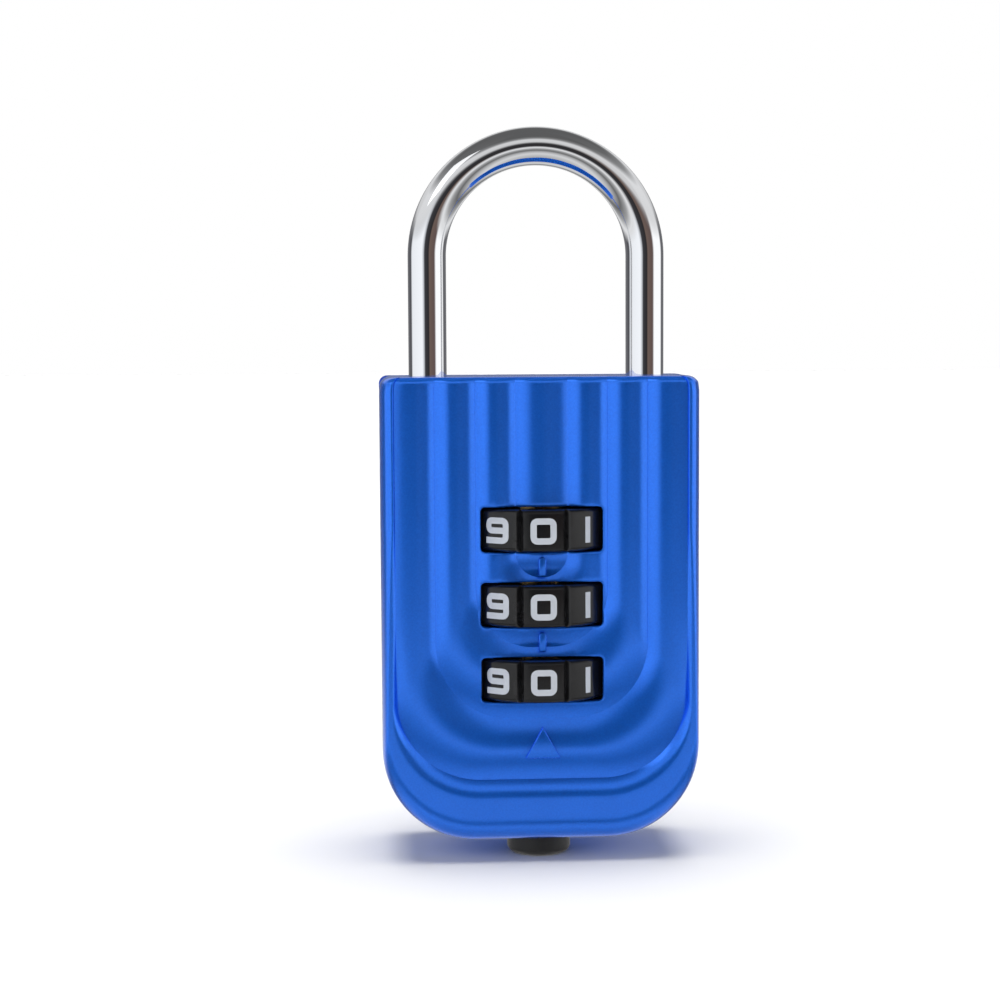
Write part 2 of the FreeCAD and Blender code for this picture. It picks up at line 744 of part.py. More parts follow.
def shackle():
    """The bow: a long heel leg at -X, a short toe leg at +X, a latch notch in each."""
    body = new_body("shackle")
    spine = new_sketch(body, "XZ_Plane")
    side = LEG
    route(spine, [("- " + side, HEEL_END), ("- " + side, ARCH)], {})
    arch = Vector(0, value(ARCH), 0)
    arm = Vector(value(side), 0, 0)
    spine.addGeometry(Part.Arc(arch - arm, arch + Vector(0, arm.x, 0), arch + arm))
    spine.addConstraint(Sketcher.Constraint("Coincident", 1, 2, 0, 2))
    route(spine, [(side, ARCH), (side, TOE_END)], {})
    spine.addConstraint(Sketcher.Constraint("Coincident", 1, 1, 2, 1))
    bind(spine, Sketcher.Constraint("DistanceY", -1, 1, 1, 3, arch.y), ARCH)
    section = new_sketch(body, "XY_Plane", HEEL_END)
    circle(section, "- " + LEG, "0", "rod_radius")
    pipe = body.newObject("PartDesign::AdditivePipe", "shackle_pipe")
    pipe.Profile = section
    pipe.Spine = (spine, ["Edge1", "Edge2", "Edge3"])
    doc.recompute()

    ends = (value(HEEL_END), value(TOE_END))
    round_edges(body, "leg_chamfer", lambda edge: any(lies_at(edge, "Z", end) for end in ends), "Chamfer")

    notches = new_sketch(body, "XZ_Plane", "- rod_radius")
    inner = LEG + " - rod_radius"
    low = CLIP_BOTTOM + " - latch_notch_gap"
    high = CLIP_BOTTOM + " + clip_height + latch_notch_gap"
    rectangle(notches, inner + " - overcut", inner + " + latch_notch_depth", low, high)
    rectangle(notches, "- ( %s + latch_notch_depth )" % inner, "overcut - ( %s )" % inner, low, high)
    extrude("Pocket", notches, "2 * rod_radius", backwards=True)

    neck = new_sketch(body, "XZ_Plane")
    neck.setExpression("AttachmentOffset.Base.x", formula("- " + LEG))
    rectangle(neck, "ring_neck_radius", "rod_radius + overcut", RING_BOTTOM + " - fit",
              RING_BOTTOM + " + ring_thickness + fit")
    turn("Groove", neck)
    return body


def heel_retaining_ring():
    """A split ring in the heel leg's groove, open towards the outside."""
    body = new_body("heel_retaining_ring")
    place(body, "- " + LEG, "0", RING_BOTTOM)
    ring = new_sketch(body, "XY_Plane")
    circle(ring, "0", "0", "ring_radius")
    circle(ring, "0", "0", "ring_neck_radius + press_fit")
    extrude("Pad", ring, "ring_thickness")
    gap = new_sketch(body, "XY_Plane", "- join")
    rectangle(gap, "- 2 * ring_radius", "0", "- ring_gap / 2", "ring_gap / 2")
    extrude("Pocket", gap, "ring_thickness + 2 * join", backwards=True)
    return body


# ---------------------------------------------------------------- springs and strips

def coil_spring(label, x, y, low, high, radius, wire, turns):
    """A compression spring that stands between two heights on the axis at (x, y)."""
    free = "( %s - ( %s ) - %s - 2 * fit )" % (high, low, wire)
    helix = doc.addObject("Part::Helix", label + "_helix")
    helix.setExpression("Radius", formula(radius))
    helix.setExpression("Height", formula(free))
    helix.setExpression("Pitch", formula("%s / %s" % (free, turns)))
    section = doc.addObject("Part::Circle", label + "_section")
    section.setExpression("Radius", formula(wire + " / 2"))
    section.Placement.Rotation = FreeCAD.Rotation(Vector(1, 0, 0), 90)
    place(section, x=radius)
    sweep = doc.addObject("Part::Sweep", label)
    sweep.Label = label
    sweep.Sections = [section]
    sweep.Spine = (helix, ["Edge1"])
    sweep.Solid = True
    sweep.Frenet = True
    place(sweep, x, y, "%s + %s / 2 + fit" % (low, wire))
    return sweep


def guide_pin(label, x, y, radius, low, length):
    """A straight pin that stands in the lower guide plate."""
    pin_body = doc.addObject("Part::Cylinder", label)
    pin_body.Label = label
    pin_body.setExpression("Radius", formula(radius))
    pin_body.setExpression("Height", formula(length))
    place(pin_body, x, y, low)
    return pin_body


def strip(path, thickness, low, height):
    """A spring strip on edge: the path in plan, thickened to both sides and raised."""
    wire = Part.makePolygon([Vector(x, y, low) for x, y in path])
    outline = wire.makeOffset2D(thickness / 2, join=0, fill=False, openResult=False)
    return Part.Face(outline).extrude(Vector(0, 0, height))


def latch_spring():
    """A clip whose two noses sit in the shackle's notches while the collar keeps its arms out."""
    thickness = cell("clip_thickness")
    nose = value(LEG) - cell("rod_radius") + cell("latch_notch_depth") - thickness
    back = cell("clip_back")
    shoulder = cell("clip_block_width") / 2 + 2 * thickness
    touch = cell("collar_radius") + thickness / 2 + 2 * cell("fit")
    turn_in = math.radians(cell("clip_turn_in"))
    end = (touch * math.cos(turn_in), -cell("dial_axis") - touch * math.sin(turn_in))
    right = [(shoulder, back), (nose - cell("clip_slope"), cell("clip_knee")), (nose, 0), end]
    left = [(-x, y) for x, y in reversed(right)]
    piece = doc.addObject("Part::Feature", "latch_spring")
    piece.Label = "latch_spring"
    piece.Shape = strip(left + right, thickness, 0, cell("clip_height"))
    place(piece, "0", "0", CLIP_BOTTOM)
    return piece


def detent_stud_heights():
    """Heights of the two studs that hold the detent comb, half a pitch above and below."""
    return ["dial_middle_z - dial_pitch / 2", "dial_middle_z + dial_pitch / 2"]


def detent_spring():
    """A leaf comb at the back: three hairpin fingers that drop into the dials' notches."""
    thickness = cell("detent_thickness")
    back = value(BACK) - cell("back_wall") - thickness / 2 - cell("fit")
    axis = cell("dial_axis")
    rim = cell("dial_radius")
    at_notch = math.radians(360 * 3.5 / DIGITS)

    def polar(radius, angle):
        return (radius * math.sin(angle), -axis - radius * math.cos(angle))

    clear = rim + cell("detent_clear")
    touch = rim - cell("detent_bite") + thickness / 2
    fold = cell("detent_fold")
    step = math.radians(cell("detent_step"))
    near = polar(clear + fold, at_notch + 3 * step)
    spine_right = cell("detent_stud_x") + cell("detent_strip_width") / 2
    fingers = [(spine_right, back), (near[0] - fold, back), near, polar(clear, at_notch + step),
               polar(touch, at_notch), polar(clear, at_notch - step),
               polar(clear + cell("detent_flare"), at_notch - 3.5 * step)]
    pitch = cell("dial_pitch")
    half = cell("detent_height") / 2
    solids = []
    for number in DIALS.values():
        solids.append(strip(fingers, thickness, number * pitch - half, 2 * half))
    stud_x = cell("detent_stud_x")
    width = cell("detent_strip_width")
    spine = Part.makeBox(width, thickness, 2 * pitch + 2 * half)
    spine.translate(Vector(stud_x - width / 2, back - thickness / 2, -pitch - half))
    comb = spine.fuse(solids).removeSplitter()
    for side in (-1, 1):
        hole = Part.makeCylinder(cell("detent_stud_radius") + cell("fit"), 2 * cell("overcut"))
        hole.rotate(Vector(0, 0, 0), Vector(1, 0, 0), 90)
        hole.translate(Vector(stud_x, back + cell("overcut"), side * pitch / 2))
        comb = comb.cut(hole)
    piece = doc.addObject("Part::Feature", "detent_spring")
    piece.Label = "detent_spring"
    piece.Shape = comb
    place(piece, "0", "0", "dial_middle_z")
    return piece


# ---------------------------------------------------------------- reset carriage

def reset_carriage():
    """An upright bar with a foot under the heel leg and a fork in each sleeve's groove."""
    body = new_body("reset_carriage")
    left = "- %s - carriage_width / 2" % CARRIAGE_X
    right = "carriage_width / 2 - " + CARRIAGE_X
    front = CARRIAGE_Y + " - carriage_depth / 2"
    rear = CARRIAGE_Y + " + carriage_depth / 2"
    groove = " + %s + fit" % GROOVE_BOTTOM
    top_fork = dial_z("top") + groove + " + fork_thickness"
    bar = new_sketch(body, "XY_Plane", CARRIAGE_BOTTOM)
    rectangle(bar, left, right, front, rear)
    extrude("Pad", bar, top_fork + " - " + CARRIAGE_BOTTOM)

    foot = new_sketch(body, "XY_Plane", FOOT_TOP + " - foot_thickness")
    rectangle(foot, "- rod_radius - " + LEG, "rod_radius - " + LEG, "- rod_radius", front + " + join")
    extrude("Pad", foot, "foot_thickness")

    reach = "( groove_radius + fork_clearance )"
    fork_left = "- ( %s + fork_rim )" % reach
    for name in DIALS:
        low = dial_z(name) + groove
        fork = new_sketch(body, "XY_Plane", low)
        rectangle(fork, fork_left, "fork_prong", "- dial_axis - %s - fork_front" % reach, CARRIAGE_Y)
        extrude("Pad", fork, "fork_thickness")
        neck = new_sketch(body, "XY_Plane", low)
        rectangle(neck, right + " - join", fork_left + " + join", front, CARRIAGE_Y)
        extrude("Pad", neck, "fork_thickness")

    past_all = top_fork + " + 2 * overcut - " + CARRIAGE_BOTTOM
    mouth = new_sketch(body, "XY_Plane", top_fork + " + overcut")
    circle(mouth, "0", "- dial_axis", reach)
    extrude("Pocket", mouth, past_all)
    opening = new_sketch(body, "XY_Plane", top_fork + " + overcut")
    rectangle(opening, "0", "sleeve_radius", "- dial_axis - " + reach, reach + " - dial_axis")
    extrude("Pocket", opening, past_all)

    bores = new_sketch(body, "XY_Plane", top_fork + " + overcut")
    circle(bores, "- " + CARRIAGE_X, CARRIAGE_Y, "reset_pin_radius + fit")
    extrude("Pocket", bores, past_all)
    spring_hole = new_sketch(body, "XY_Plane", FOOT_TOP + " + overcut")
    circle(spring_hole, "- " + LEG, "0", "shackle_spring_radius + shackle_spring_wire / 2 + spring_clearance")
    extrude("Pocket", spring_hole, "foot_thickness + 2 * overcut")
    return body


# ---------------------------------------------------------------- assembly

def all_parts():
    parts = [front_shell(), back_shell(), case_rivets()]
    for name in DIALS:
        parts += [dial(name), sleeve(name)]
    parts += [spindle(), blocking_collar(), button(), lower_guide_plate(), upper_guide_plate(),
              shackle(), heel_retaining_ring(), latch_spring(), detent_spring(), reset_carriage()]
    parts += [
        coil_spring("button_spring", "0", "- dial_axis", FLANGE_TOP, LOWER_BOTTOM,
                    "button_spring_radius", "button_spring_wire", "button_spring_turns"),
        coil_spring("shackle_spring", "- " + LEG, "0", LOWER_TOP, HEEL_END,
                    "shackle_spring_radius", "shackle_spring_wire", "shackle_spring_turns"),
        coil_spring("reset_spring", "- " + CARRIAGE_X, CARRIAGE_Y, LOWER_TOP, CARRIAGE_BOTTOM,
                    "reset_spring_radius", "reset_spring_wire", "reset_spring_turns"),
        guide_pin("spring_guide_pin", "- " + LEG, "0", "shackle_pin_radius",
                  LOWER_BOTTOM, "shackle_pin_length"),
        guide_pin("reset_guide_pin", "- " + CARRIAGE_X, CARRIAGE_Y, "reset_pin_radius",
                  LOWER_BOTTOM, UPPER_TOP + " - " + LOWER_BOTTOM),
    ]
    return parts


parts = all_parts()
doc.recompute()

for thing in doc.Objects:
    if "Invalid" in thing.State or "Error" in thing.State:
        raise RuntimeError("%s failed: %s" % (thing.Label, thing.State))
for part in parts:
    if part.Shape.isNull() or not part.Shape.isValid() or not part.Shape.Solids:
        raise RuntimeError("%s has no valid solid" % part.Label)

os.makedirs("parts", exist_ok=True)
for part in parts:
    part.Shape.exportStep("parts/%s.step" % part.Label)
    print("%-22s %d solid(s) %9.2f mm3" % (part.Label, len(part.Shape.Solids), part.Shape.Volume))
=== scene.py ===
"""Looks of a three-dial combination padlock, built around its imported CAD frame.

Everything is in metres, in the frame's own axes: +Z up along the shackle, -Y out of the front.
"""
import json
import math

import bmesh
import bpy
from bpy.props import FloatProperty, FloatVectorProperty, PointerProperty
from bpy.types import Operator, Panel, PropertyGroup
from mathutils import Matrix, Vector


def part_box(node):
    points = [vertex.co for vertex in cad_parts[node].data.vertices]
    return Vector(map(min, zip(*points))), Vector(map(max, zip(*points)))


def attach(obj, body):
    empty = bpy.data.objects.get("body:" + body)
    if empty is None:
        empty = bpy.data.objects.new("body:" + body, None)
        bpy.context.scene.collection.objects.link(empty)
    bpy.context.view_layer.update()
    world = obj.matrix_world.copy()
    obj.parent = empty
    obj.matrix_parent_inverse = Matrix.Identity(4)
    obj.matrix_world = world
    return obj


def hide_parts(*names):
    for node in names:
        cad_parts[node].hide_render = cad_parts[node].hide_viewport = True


bl_info = {
    "name": "Combination Padlock",
    "version": (1, 0, 0),
    "blender": (4, 5, 0),
    "location": "View3D > Sidebar > Padlock",
    "description": "Builds the finished pieces, finishes and studio of a three-dial padlock",
    "category": "Object",
}

MM = 0.001
DIAL_NAMES = ("dial_top", "dial_middle", "dial_bottom")
DIGIT_COUNT = 10
SHARP_ANGLE = math.radians(32)
PAST = 1 * MM  # how far a cutter runs past what it cuts
MERGE = 0.0005 * MM  # vertices closer than this are joined after a cut

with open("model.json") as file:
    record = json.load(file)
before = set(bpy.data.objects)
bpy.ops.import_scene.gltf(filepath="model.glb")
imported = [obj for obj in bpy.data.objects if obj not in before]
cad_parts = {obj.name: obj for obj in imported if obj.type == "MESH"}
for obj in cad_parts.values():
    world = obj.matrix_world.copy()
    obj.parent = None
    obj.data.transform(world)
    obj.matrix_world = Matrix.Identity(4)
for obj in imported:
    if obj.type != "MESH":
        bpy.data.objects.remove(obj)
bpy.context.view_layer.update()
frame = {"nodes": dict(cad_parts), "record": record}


# ---------------------------------------------------------------- sizes and colours

def length(name, description, default_mm):
    return FloatProperty(name=name, description=description, default=default_mm * MM,
                         min=0.0, precision=5, unit="LENGTH", subtype="DISTANCE")


def lengths(name, description, defaults_mm):
    return FloatVectorProperty(name=name, description=description, size=len(defaults_mm),
                               default=[value * MM for value in defaults_mm], precision=5,
                               unit="LENGTH", subtype="NONE")


def colour(name, description, default):
    return FloatVectorProperty(name=name, description=description, size=3, default=default,
                               min=0.0, max=1.0, subtype="COLOR")


class PadlockSizes(PropertyGroup):
    """Sizes of the finished pieces that the frame's boxes don't give."""
    face_depth: length("Face depth", "From the shackle's plane to the front face", 6.9)
    front_wall: length("Front wall", "Thickness of the front wall", 1.7)
    side_wall: length("Side wall", "Thickness of the side walls", 1.3)
    bottom_corner: length("Bottom corner", "Radius of the body's two lower corners", 10.0)
    top_corner: length("Top corner", "Radius of the body's two upper corners", 1.2)
    rim_depth: length("Rim depth", "How far back the front's rounded rim reaches", 2.6)
    top_round: length("Top rounding", "Radius where the front runs over into the top", 0.7)
    crease_halves: lengths("Crease halves", "Half the width between a crease's two legs",
                           (2.75, 7.0, 11.3, 15.5))
    crease_bottoms: lengths("Crease bottoms", "Height of a crease's lowest point",
                            (30.7, 23.25, 15.6, 9.05))
    crease_corners: lengths("Crease corners", "Radius of a crease's two corners",
                            (2.6, 6.0, 8.0, 9.0))
    crease_depth: length("Crease depth", "Depth of the creases between the flutes", 0.65)
    side_crease_depth: length("Side crease depth", "Depth of the outer crease up the sides", 0.25)
    crease_reach: length("Crease reach", "From the outer crease to where the rim band gets flat", 1.9)
    seam: length("Seam", "Rounding of the front cover's rear edge, which shows as a seam", 0.16)
    window_width: length("Window width", "Width of the dial windows", 12.95)
    window_height: length("Window height", "Height of the dial windows", 4.8)
    window_corner: length("Window corner", "Radius of the windows' corners", 0.5)
    window_lip: length("Window lip", "Radius of the windows' rounded front edge", 0.2)
    dial_gap: length("Dial gap", "Room round the dials", 0.3)
    hole_gap: length("Hole gap", "Room round the shackle legs and the button", 0.1)
    mark_height: length("Mark height", "How far the index marks stand proud", 0.35)
    mark_root: length("Mark root", "How far the index marks reach into the front", 0.35)
    mark_round: length("Mark rounding", "Radius of the index marks' edges", 0.13)
    bar_width: length("Bar width", "Width of the index bars", 0.8)
    bar_length: length("Bar length", "Length of the index bars", 2.0)
    bar_gap: length("Bar gap", "From a window's top edge to the index bar above it", 0.7)
    triangle_width: length("Triangle width", "Width of the raised triangle", 3.75)
    triangle_height: length("Triangle height", "Height of the raised triangle", 3.35)
    triangle_base: length("Triangle base", "Height of the triangle's foot", 11.45)
    rod_radius: length("Rod radius", "Radius of the shackle's rod", 2.05)
    leg: length("Leg", "From the middle to a shackle leg's centre", 11.75)
    toe_height: length("Toe height", "Height of the short leg's lower end", 44.0)
    leg_chamfer: length("Leg chamfer", "Chamfer on the lower ends of the legs", 0.4)
    notch_depth: length("Notch depth", "How deep the latch notches cut into the legs", 0.85)
    notch_gap: length("Notch gap", "Room over and under the latch clip in its notches", 0.25)
    neck_radius: length("Neck radius", "Radius of the long leg inside its retaining ring", 1.6)
    button_radius: length("Button radius", "Radius of the button where it leaves the body", 3.45)
    digit_size: length("Digit size", "Width and height of the digits", 2.75)
    digit_stroke: length("Digit stroke", "Width of the digits' strokes", 0.66)
    digit_height: length("Digit height", "How far the digits stand out of the dials", 0.04)
    digit_root: length("Digit root", "How far the digits reach into the dials", 0.03)
    digit_round: length("Digit rounding", "Where a stroke starts to turn, before its corner", 0.5)


class PadlockColours(PropertyGroup):
    """Colours of the finishes."""
    lacquer: colour("Lacquer", "Blue metallic lacquer", (0.014, 0.18, 0.92))
    chrome: colour("Chrome", "Plated shackle", (0.86, 0.87, 0.89))
    dial: colour("Dial", "Black dials", (0.006, 0.006, 0.007))
    # painted highlight: the lighter tone put on the dials' sharp edges
    edge_highlight: colour("Painted edge highlight", "Painted highlight on the dials' sharp edges", (0.03, 0.03, 0.032))
    digit: colour("Digit", "Paint in the digits", (0.60, 0.64, 0.70))
    button: colour("Button", "Black push button", (0.008, 0.008, 0.009))
    brass: colour("Brass", "Sleeves inside the dials", (0.72, 0.50, 0.22))
    zinc: colour("Zinc", "Die-cast inner pieces", (0.52, 0.53, 0.54))
    steel: colour("Steel", "Springs, pins and spindle", (0.60, 0.60, 0.59))
    floor: colour("Floor", "Studio floor", (0.88, 0.88, 0.88))


# ---------------------------------------------------------------- mesh helpers

def finished(name, work, body, material):
    """Turns a bmesh into a piece of the padlock that rides on a body."""
    bmesh.ops.recalc_face_normals(work, faces=work.faces)
    return settled(name, work, body, material)


def settled(name, work, body, material):
    """As finished, for a bmesh whose faces already point outwards."""
    for face in work.faces:
        face.smooth = True
    for edge in work.edges:
        edge.smooth = edge.calc_face_angle(0.0) < SHARP_ANGLE
    mesh = bpy.data.meshes.new(name)
    work.to_mesh(mesh)
    work.free()
    piece = bpy.data.objects.new(name, mesh)
    bpy.context.scene.collection.objects.link(piece)
    mesh.materials.append(material)
    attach(piece, body)
    return piece


def cad_copy(node):
    """A bmesh of a CAD node, with its loose triangles joined up."""
    work = bmesh.new()
    work.from_mesh(frame["nodes"][node].data)
    bmesh.ops.remove_doubles(work, verts=work.verts, dist=0.001 * MM)
    return work


def cut(work, cutters):
    """Cuts other bmeshes out of one and returns what is left."""
    holder = []
    for number, shape in enumerate([work] + cutters):
        mesh = bpy.data.meshes.new("cut_shape")
        bmesh.ops.recalc_face_normals(shape, faces=shape.faces)
        shape.to_mesh(mesh)
        shape.free()
        holder.append(bpy.data.objects.new("cut_shape_%d" % number, mesh))
        bpy.context.scene.collection.objects.link(holder[-1])
    for cutter in holder[1:]:
        modifier = holder[0].modifiers.new("cut", "BOOLEAN")
        modifier.operation = "DIFFERENCE"
        modifier.solver = "EXACT"
        modifier.object = cutter
    bpy.context.view_layer.update()
    result = bmesh.new()
    result.from_object(holder[0], bpy.context.evaluated_depsgraph_get())
    for shape in holder:
        mesh = shape.data
        bpy.data.objects.remove(shape)
        bpy.data.meshes.remove(mesh)
    bmesh.ops.remove_doubles(result, verts=result.verts, dist=MERGE)
    bmesh.ops.dissolve_degenerate(result, edges=result.edges, dist=MERGE)
    return result


def stacked(work, rings):
    """A closed solid through a row of rings."""
    loops = []
    for ring in rings:
        loops.append([work.edges.new((ring[i - 1], ring[i])) for i in range(len(ring))])
    for first, second in zip(loops, loops[1:]):
        bmesh.ops.bridge_loops(work, edges=first + second)
    for loop in (loops[0], loops[-1]):
        bmesh.ops.edgeloop_fill(work, edges=loop)


def block(work, centre, size):
    """A box in the bmesh."""
    place = Matrix.LocRotScale(Vector(centre), None, Vector(size))
    bmesh.ops.create_cube(work, size=1.0, matrix=place)


def drum(work, centre, radius, height, segments):
    """An upright cylinder in the bmesh."""
    bmesh.ops.create_cone(work, cap_ends=True, segments=segments, radius1=radius, radius2=radius,
                          depth=height, matrix=Matrix.Translation(Vector(centre)))


# ---------------------------------------------------------------- the fluted front

class Front:
    """The front's surface: U-shaped creases, flutes that bulge between them and a rounded rim.

    A level is 0 on the middle line, 1 to 4 on the creases and 5 on the body's outline.
    """
    LAST = 5
    ARC_STEPS = 30
    FLAT_STEPS = 5
    SIDE_STEPS = 46
    SHOULDER_STEPS = 6
    FLUTE_ROWS = 12
    BAND_ROWS = 12
    RIM_ROWS = 10
    SEARCH_STEPS = 26
    LIP_STEPS = 5
    RIM_SHARE = 0.88  # the most of the outer band's width that the rim may take
    FADE_LOW, FADE_RUN = 13 * MM, 14 * MM  # heights over which the outer crease gets shallow

    def __init__(self, sizes):
        self.sizes = sizes
        low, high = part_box("front_shell")
        self.half, self.bottom, self.top, self.split = high[0], low[2], high[2], high[1]
        creases = list(zip(sizes.crease_halves, sizes.crease_bottoms, sizes.crease_corners))
        first_half, first_bottom, first_corner = creases[0]
        middle = (0.0, first_bottom + first_corner, 0.0)
        self.shapes = [middle] + creases + [(self.half, self.bottom, sizes.bottom_corner)]

    def shape(self, level):
        """Half width, lowest height and corner radius of the U at a level."""
        step = min(int(level), self.LAST - 1)
        share = level - step
        return [a + (b - a) * share for a, b in zip(self.shapes[step], self.shapes[step + 1])]

    def level(self, x, z):
        """The level of the U that runs through a point of the front."""
        low, high = 0.0, float(self.LAST)
        for _ in range(self.SEARCH_STEPS):
            middle = (low + high) / 2
            half, bottom, corner = self.shape(middle)
            side = abs(x) - (half - corner)
            under = bottom + corner - z
            if under <= 0:
                outside = abs(x) > half
            elif side > 0:
                outside = math.hypot(side, under) > corner
            else:
                outside = z < bottom
            low, high = (middle, high) if outside else (low, middle)
        return (low + high) / 2

    def crease_depth(self, number, z):
        """How deep a crease is at a height: the outermost one gets shallow up the sides."""
        deep = self.sizes.crease_depth
        if number == 0:
            return 0.0
        if number < 4:
            return deep
        share = min(1.0, max(0.0, (z - self.FADE_LOW) / self.FADE_RUN))
        share = share * share * (3 - 2 * share)
        return deep + (self.sizes.side_crease_depth - deep) * share

    def fall(self, level, z):
        """How far the surface lies behind the face, inside the outermost crease."""
        number = min(int(level), 3)
        share = level - number
        if number == 0:
            return self.crease_depth(1, z) * share ** 2
        if share < 0.5:
            return self.crease_depth(number, z) * (1 - 2 * share) ** 2
        return self.crease_depth(number + 1, z) * (2 * share - 1) ** 2

    def depth(self, x, z):
        """The surface's Y at a point between the middle and the outermost crease."""
        return self.fall(min(self.level(x, z), 3.999), z) - self.sizes.face_depth

    def rows(self):
        """(level, rim angle) of each row of the grid, from the middle outwards."""
        found = [(math.sin(math.pi / 2 * row / self.FLUTE_ROWS), None) for row in range(self.FLUTE_ROWS)]
        for number in range(1, 4):
            for row in range(self.FLUTE_ROWS):
                found.append((number + 0.5 - 0.5 * math.cos(math.pi * row / self.FLUTE_ROWS), None))
        for row in range(self.BAND_ROWS):
            found.append((4 + row / self.BAND_ROWS, None))
        for row in range(self.RIM_ROWS + 1):
            found.append((5, math.pi / 2 * row / self.RIM_ROWS))
        return found

    def columns(self):
        """(part, share) of each column from the bottom's middle up to the top edge."""
        found = [("flat", step / self.FLAT_STEPS) for step in range(self.FLAT_STEPS)]
        found += [("arc", step / self.ARC_STEPS) for step in range(self.ARC_STEPS)]
        found += [("side", step / self.SIDE_STEPS) for step in range(self.SIDE_STEPS)]
        found += [("shoulder", step / self.SHOULDER_STEPS) for step in range(self.SHOULDER_STEPS + 1)]
        return found

    def on_u(self, shape, part, share):
        """The point of a U at a column."""
        half, bottom, corner = shape
        shoulder = self.top - self.sizes.top_round
        if part == "flat":
            return (half - corner) * share, bottom
        if part == "arc":
            angle = math.pi / 2 * share
            return half - corner + corner * math.sin(angle), bottom + corner - corner * math.cos(angle)
        if part == "side":
            return half, bottom + corner + (shoulder - bottom - corner) * share
        return half, shoulder + self.sizes.top_round * math.sin(math.pi / 2 * share)

    def point(self, row, column, sign):
        """The place of one vertex of the grid."""
        level, angle = row
        part, share = column
        rim = self.sizes.rim_depth
        if level < 4:
            x, z = self.on_u(self.shape(level), part, share)
            y = self.fall(level, z)
        else:
            inner = Vector(self.on_u(self.shape(4), part, share))
            outer = Vector(self.on_u(self.shape(5), part, share))
            width = (outer - inner).length
            reach = min(rim, self.RIM_SHARE * width)
            crease = self.crease_depth(4, inner.y)
            if angle is None:
                along = (level - 4) ** 1.4 * (1 - reach / width)
                run = min(self.sizes.crease_reach, width - reach)
                y = crease * max(0.0, 1 - along * width / run) ** 2
            else:
                along = 1 - reach / width * (1 - math.sin(angle))
                y = rim * (1 - math.cos(angle))
            x, z = inner.lerp(outer, along)
        if part == "shoulder":
            y += self.sizes.top_round * (1 - math.cos(math.pi / 2 * share))
        return sign * x, y - self.sizes.face_depth, z

    def narrowed(self, x, z):
        """X drawn in near the top, so that the body's two upper corners are round."""
        corner = self.sizes.top_corner
        over = z - (self.top - corner)
        if over <= 0:
            return x
        inwards = corner - math.sqrt(max(0.0, corner ** 2 - over ** 2))
        share = max(0.0, (abs(x) - self.half + 3 * corner) / (3 * corner))
        return x - math.copysign(inwards * share, x)

    def solid(self):
        """The front as a closed block, still without its room, windows and holes."""
        rows, columns = self.rows(), self.columns()
        last_row, last_column = len(rows) - 1, len(columns) - 1
        work = bmesh.new()
        bmesh.ops.create_grid(work, x_segments=last_row, y_segments=2 * last_column, size=1.0)
        for vertex in work.verts:
            row = round((vertex.co.x + 1) / 2 * last_row)
            column = round(vertex.co.y * last_column)
            vertex.co = self.point(rows[row], columns[abs(column)], -1 if column < 0 else 1)
        bmesh.ops.remove_doubles(work, verts=work.verts, dist=0.002 * MM)
        border = [edge for edge in work.edges if edge.is_boundary]
        swept = bmesh.ops.extrude_edge_only(work, edges=border)["geom"]
        back = [item for item in swept if isinstance(item, bmesh.types.BMVert)]
        for vertex in back:
            vertex.co.y = self.split
        for vertex in work.verts:
            vertex.co.x = self.narrowed(vertex.co.x, vertex.co.z)
        rear = [edge for edge in work.edges if edge.is_boundary]
        bmesh.ops.edgeloop_fill(work, edges=rear)
        bmesh.ops.recalc_face_normals(work, faces=work.faces)
        bmesh.ops.bevel(work, geom=rear, affect="EDGES", offset=self.sizes.seam, segments=2,
                        profile=0.5, material=-1)
        return work

    def window(self, middle):
        """The shape that cuts one window, with a rounded lip that follows the flutes."""
        work = bmesh.new()
        sizes = self.sizes
        half_x, half_z = sizes.window_width / 2, sizes.window_height / 2
        lip = sizes.window_lip
        rings = [("proud", 1.6 * lip, -1.5 * PAST), ("lip", 1.6 * lip, -0.07 * lip)]
        for step in range(1, self.LIP_STEPS + 1):
            angle = math.radians(15 + 75 * step / self.LIP_STEPS)
            rings.append(("lip", lip * (1 - math.sin(angle)), lip * (1 - math.cos(angle))))
        rings.append(("deep", 0.0, 0.0))
        made = []
        for kind, spread, fall in rings:
            if kind == "deep":
                depth = lambda x, z: sizes.front_wall + PAST - sizes.face_depth
            else:
                depth = lambda x, z, fall=fall: self.depth(x, z) + fall
            made.append(self.window_ring(work, half_x + spread, middle - half_z - spread,
                                         middle + half_z + spread, sizes.window_corner + spread, depth))
        stacked(work, made)
        return work

    def window_ring(self, work, half_x, low, high, corner, depth):
        """A ring round a window with vertices close enough to follow the flutes."""
        points = []
        across, upright, turn = 40, 14, 6
        for x, z, start, dx, dz, count in (
                (half_x - corner, high - corner, 0, -1, 0, across),
                (corner - half_x, high - corner, 90, 0, -1, upright),
                (corner - half_x, low + corner, 180, 1, 0, across),
                (half_x - corner, low + corner, 270, 0, 1, upright)):
            for step in range(turn + 1):
                angle = math.radians(start + 90 * step / turn)
                points.append((x + corner * math.cos(angle), z + corner * math.sin(angle)))
            run = 2 * (half_x - corner) if dx else high - low - 2 * corner
            last_x, last_z = points[-1]
            for step in range(1, count):
                points.append((last_x + dx * run * step / count, last_z + dz * run * step / count))
        return [work.verts.new((x, depth(x, z), z)) for x, z in points]


def dial_middles():
    """The three dials' centre heights."""
    return [(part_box(name)[0][2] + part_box(name)[1][2]) / 2 for name in DIAL_NAMES]


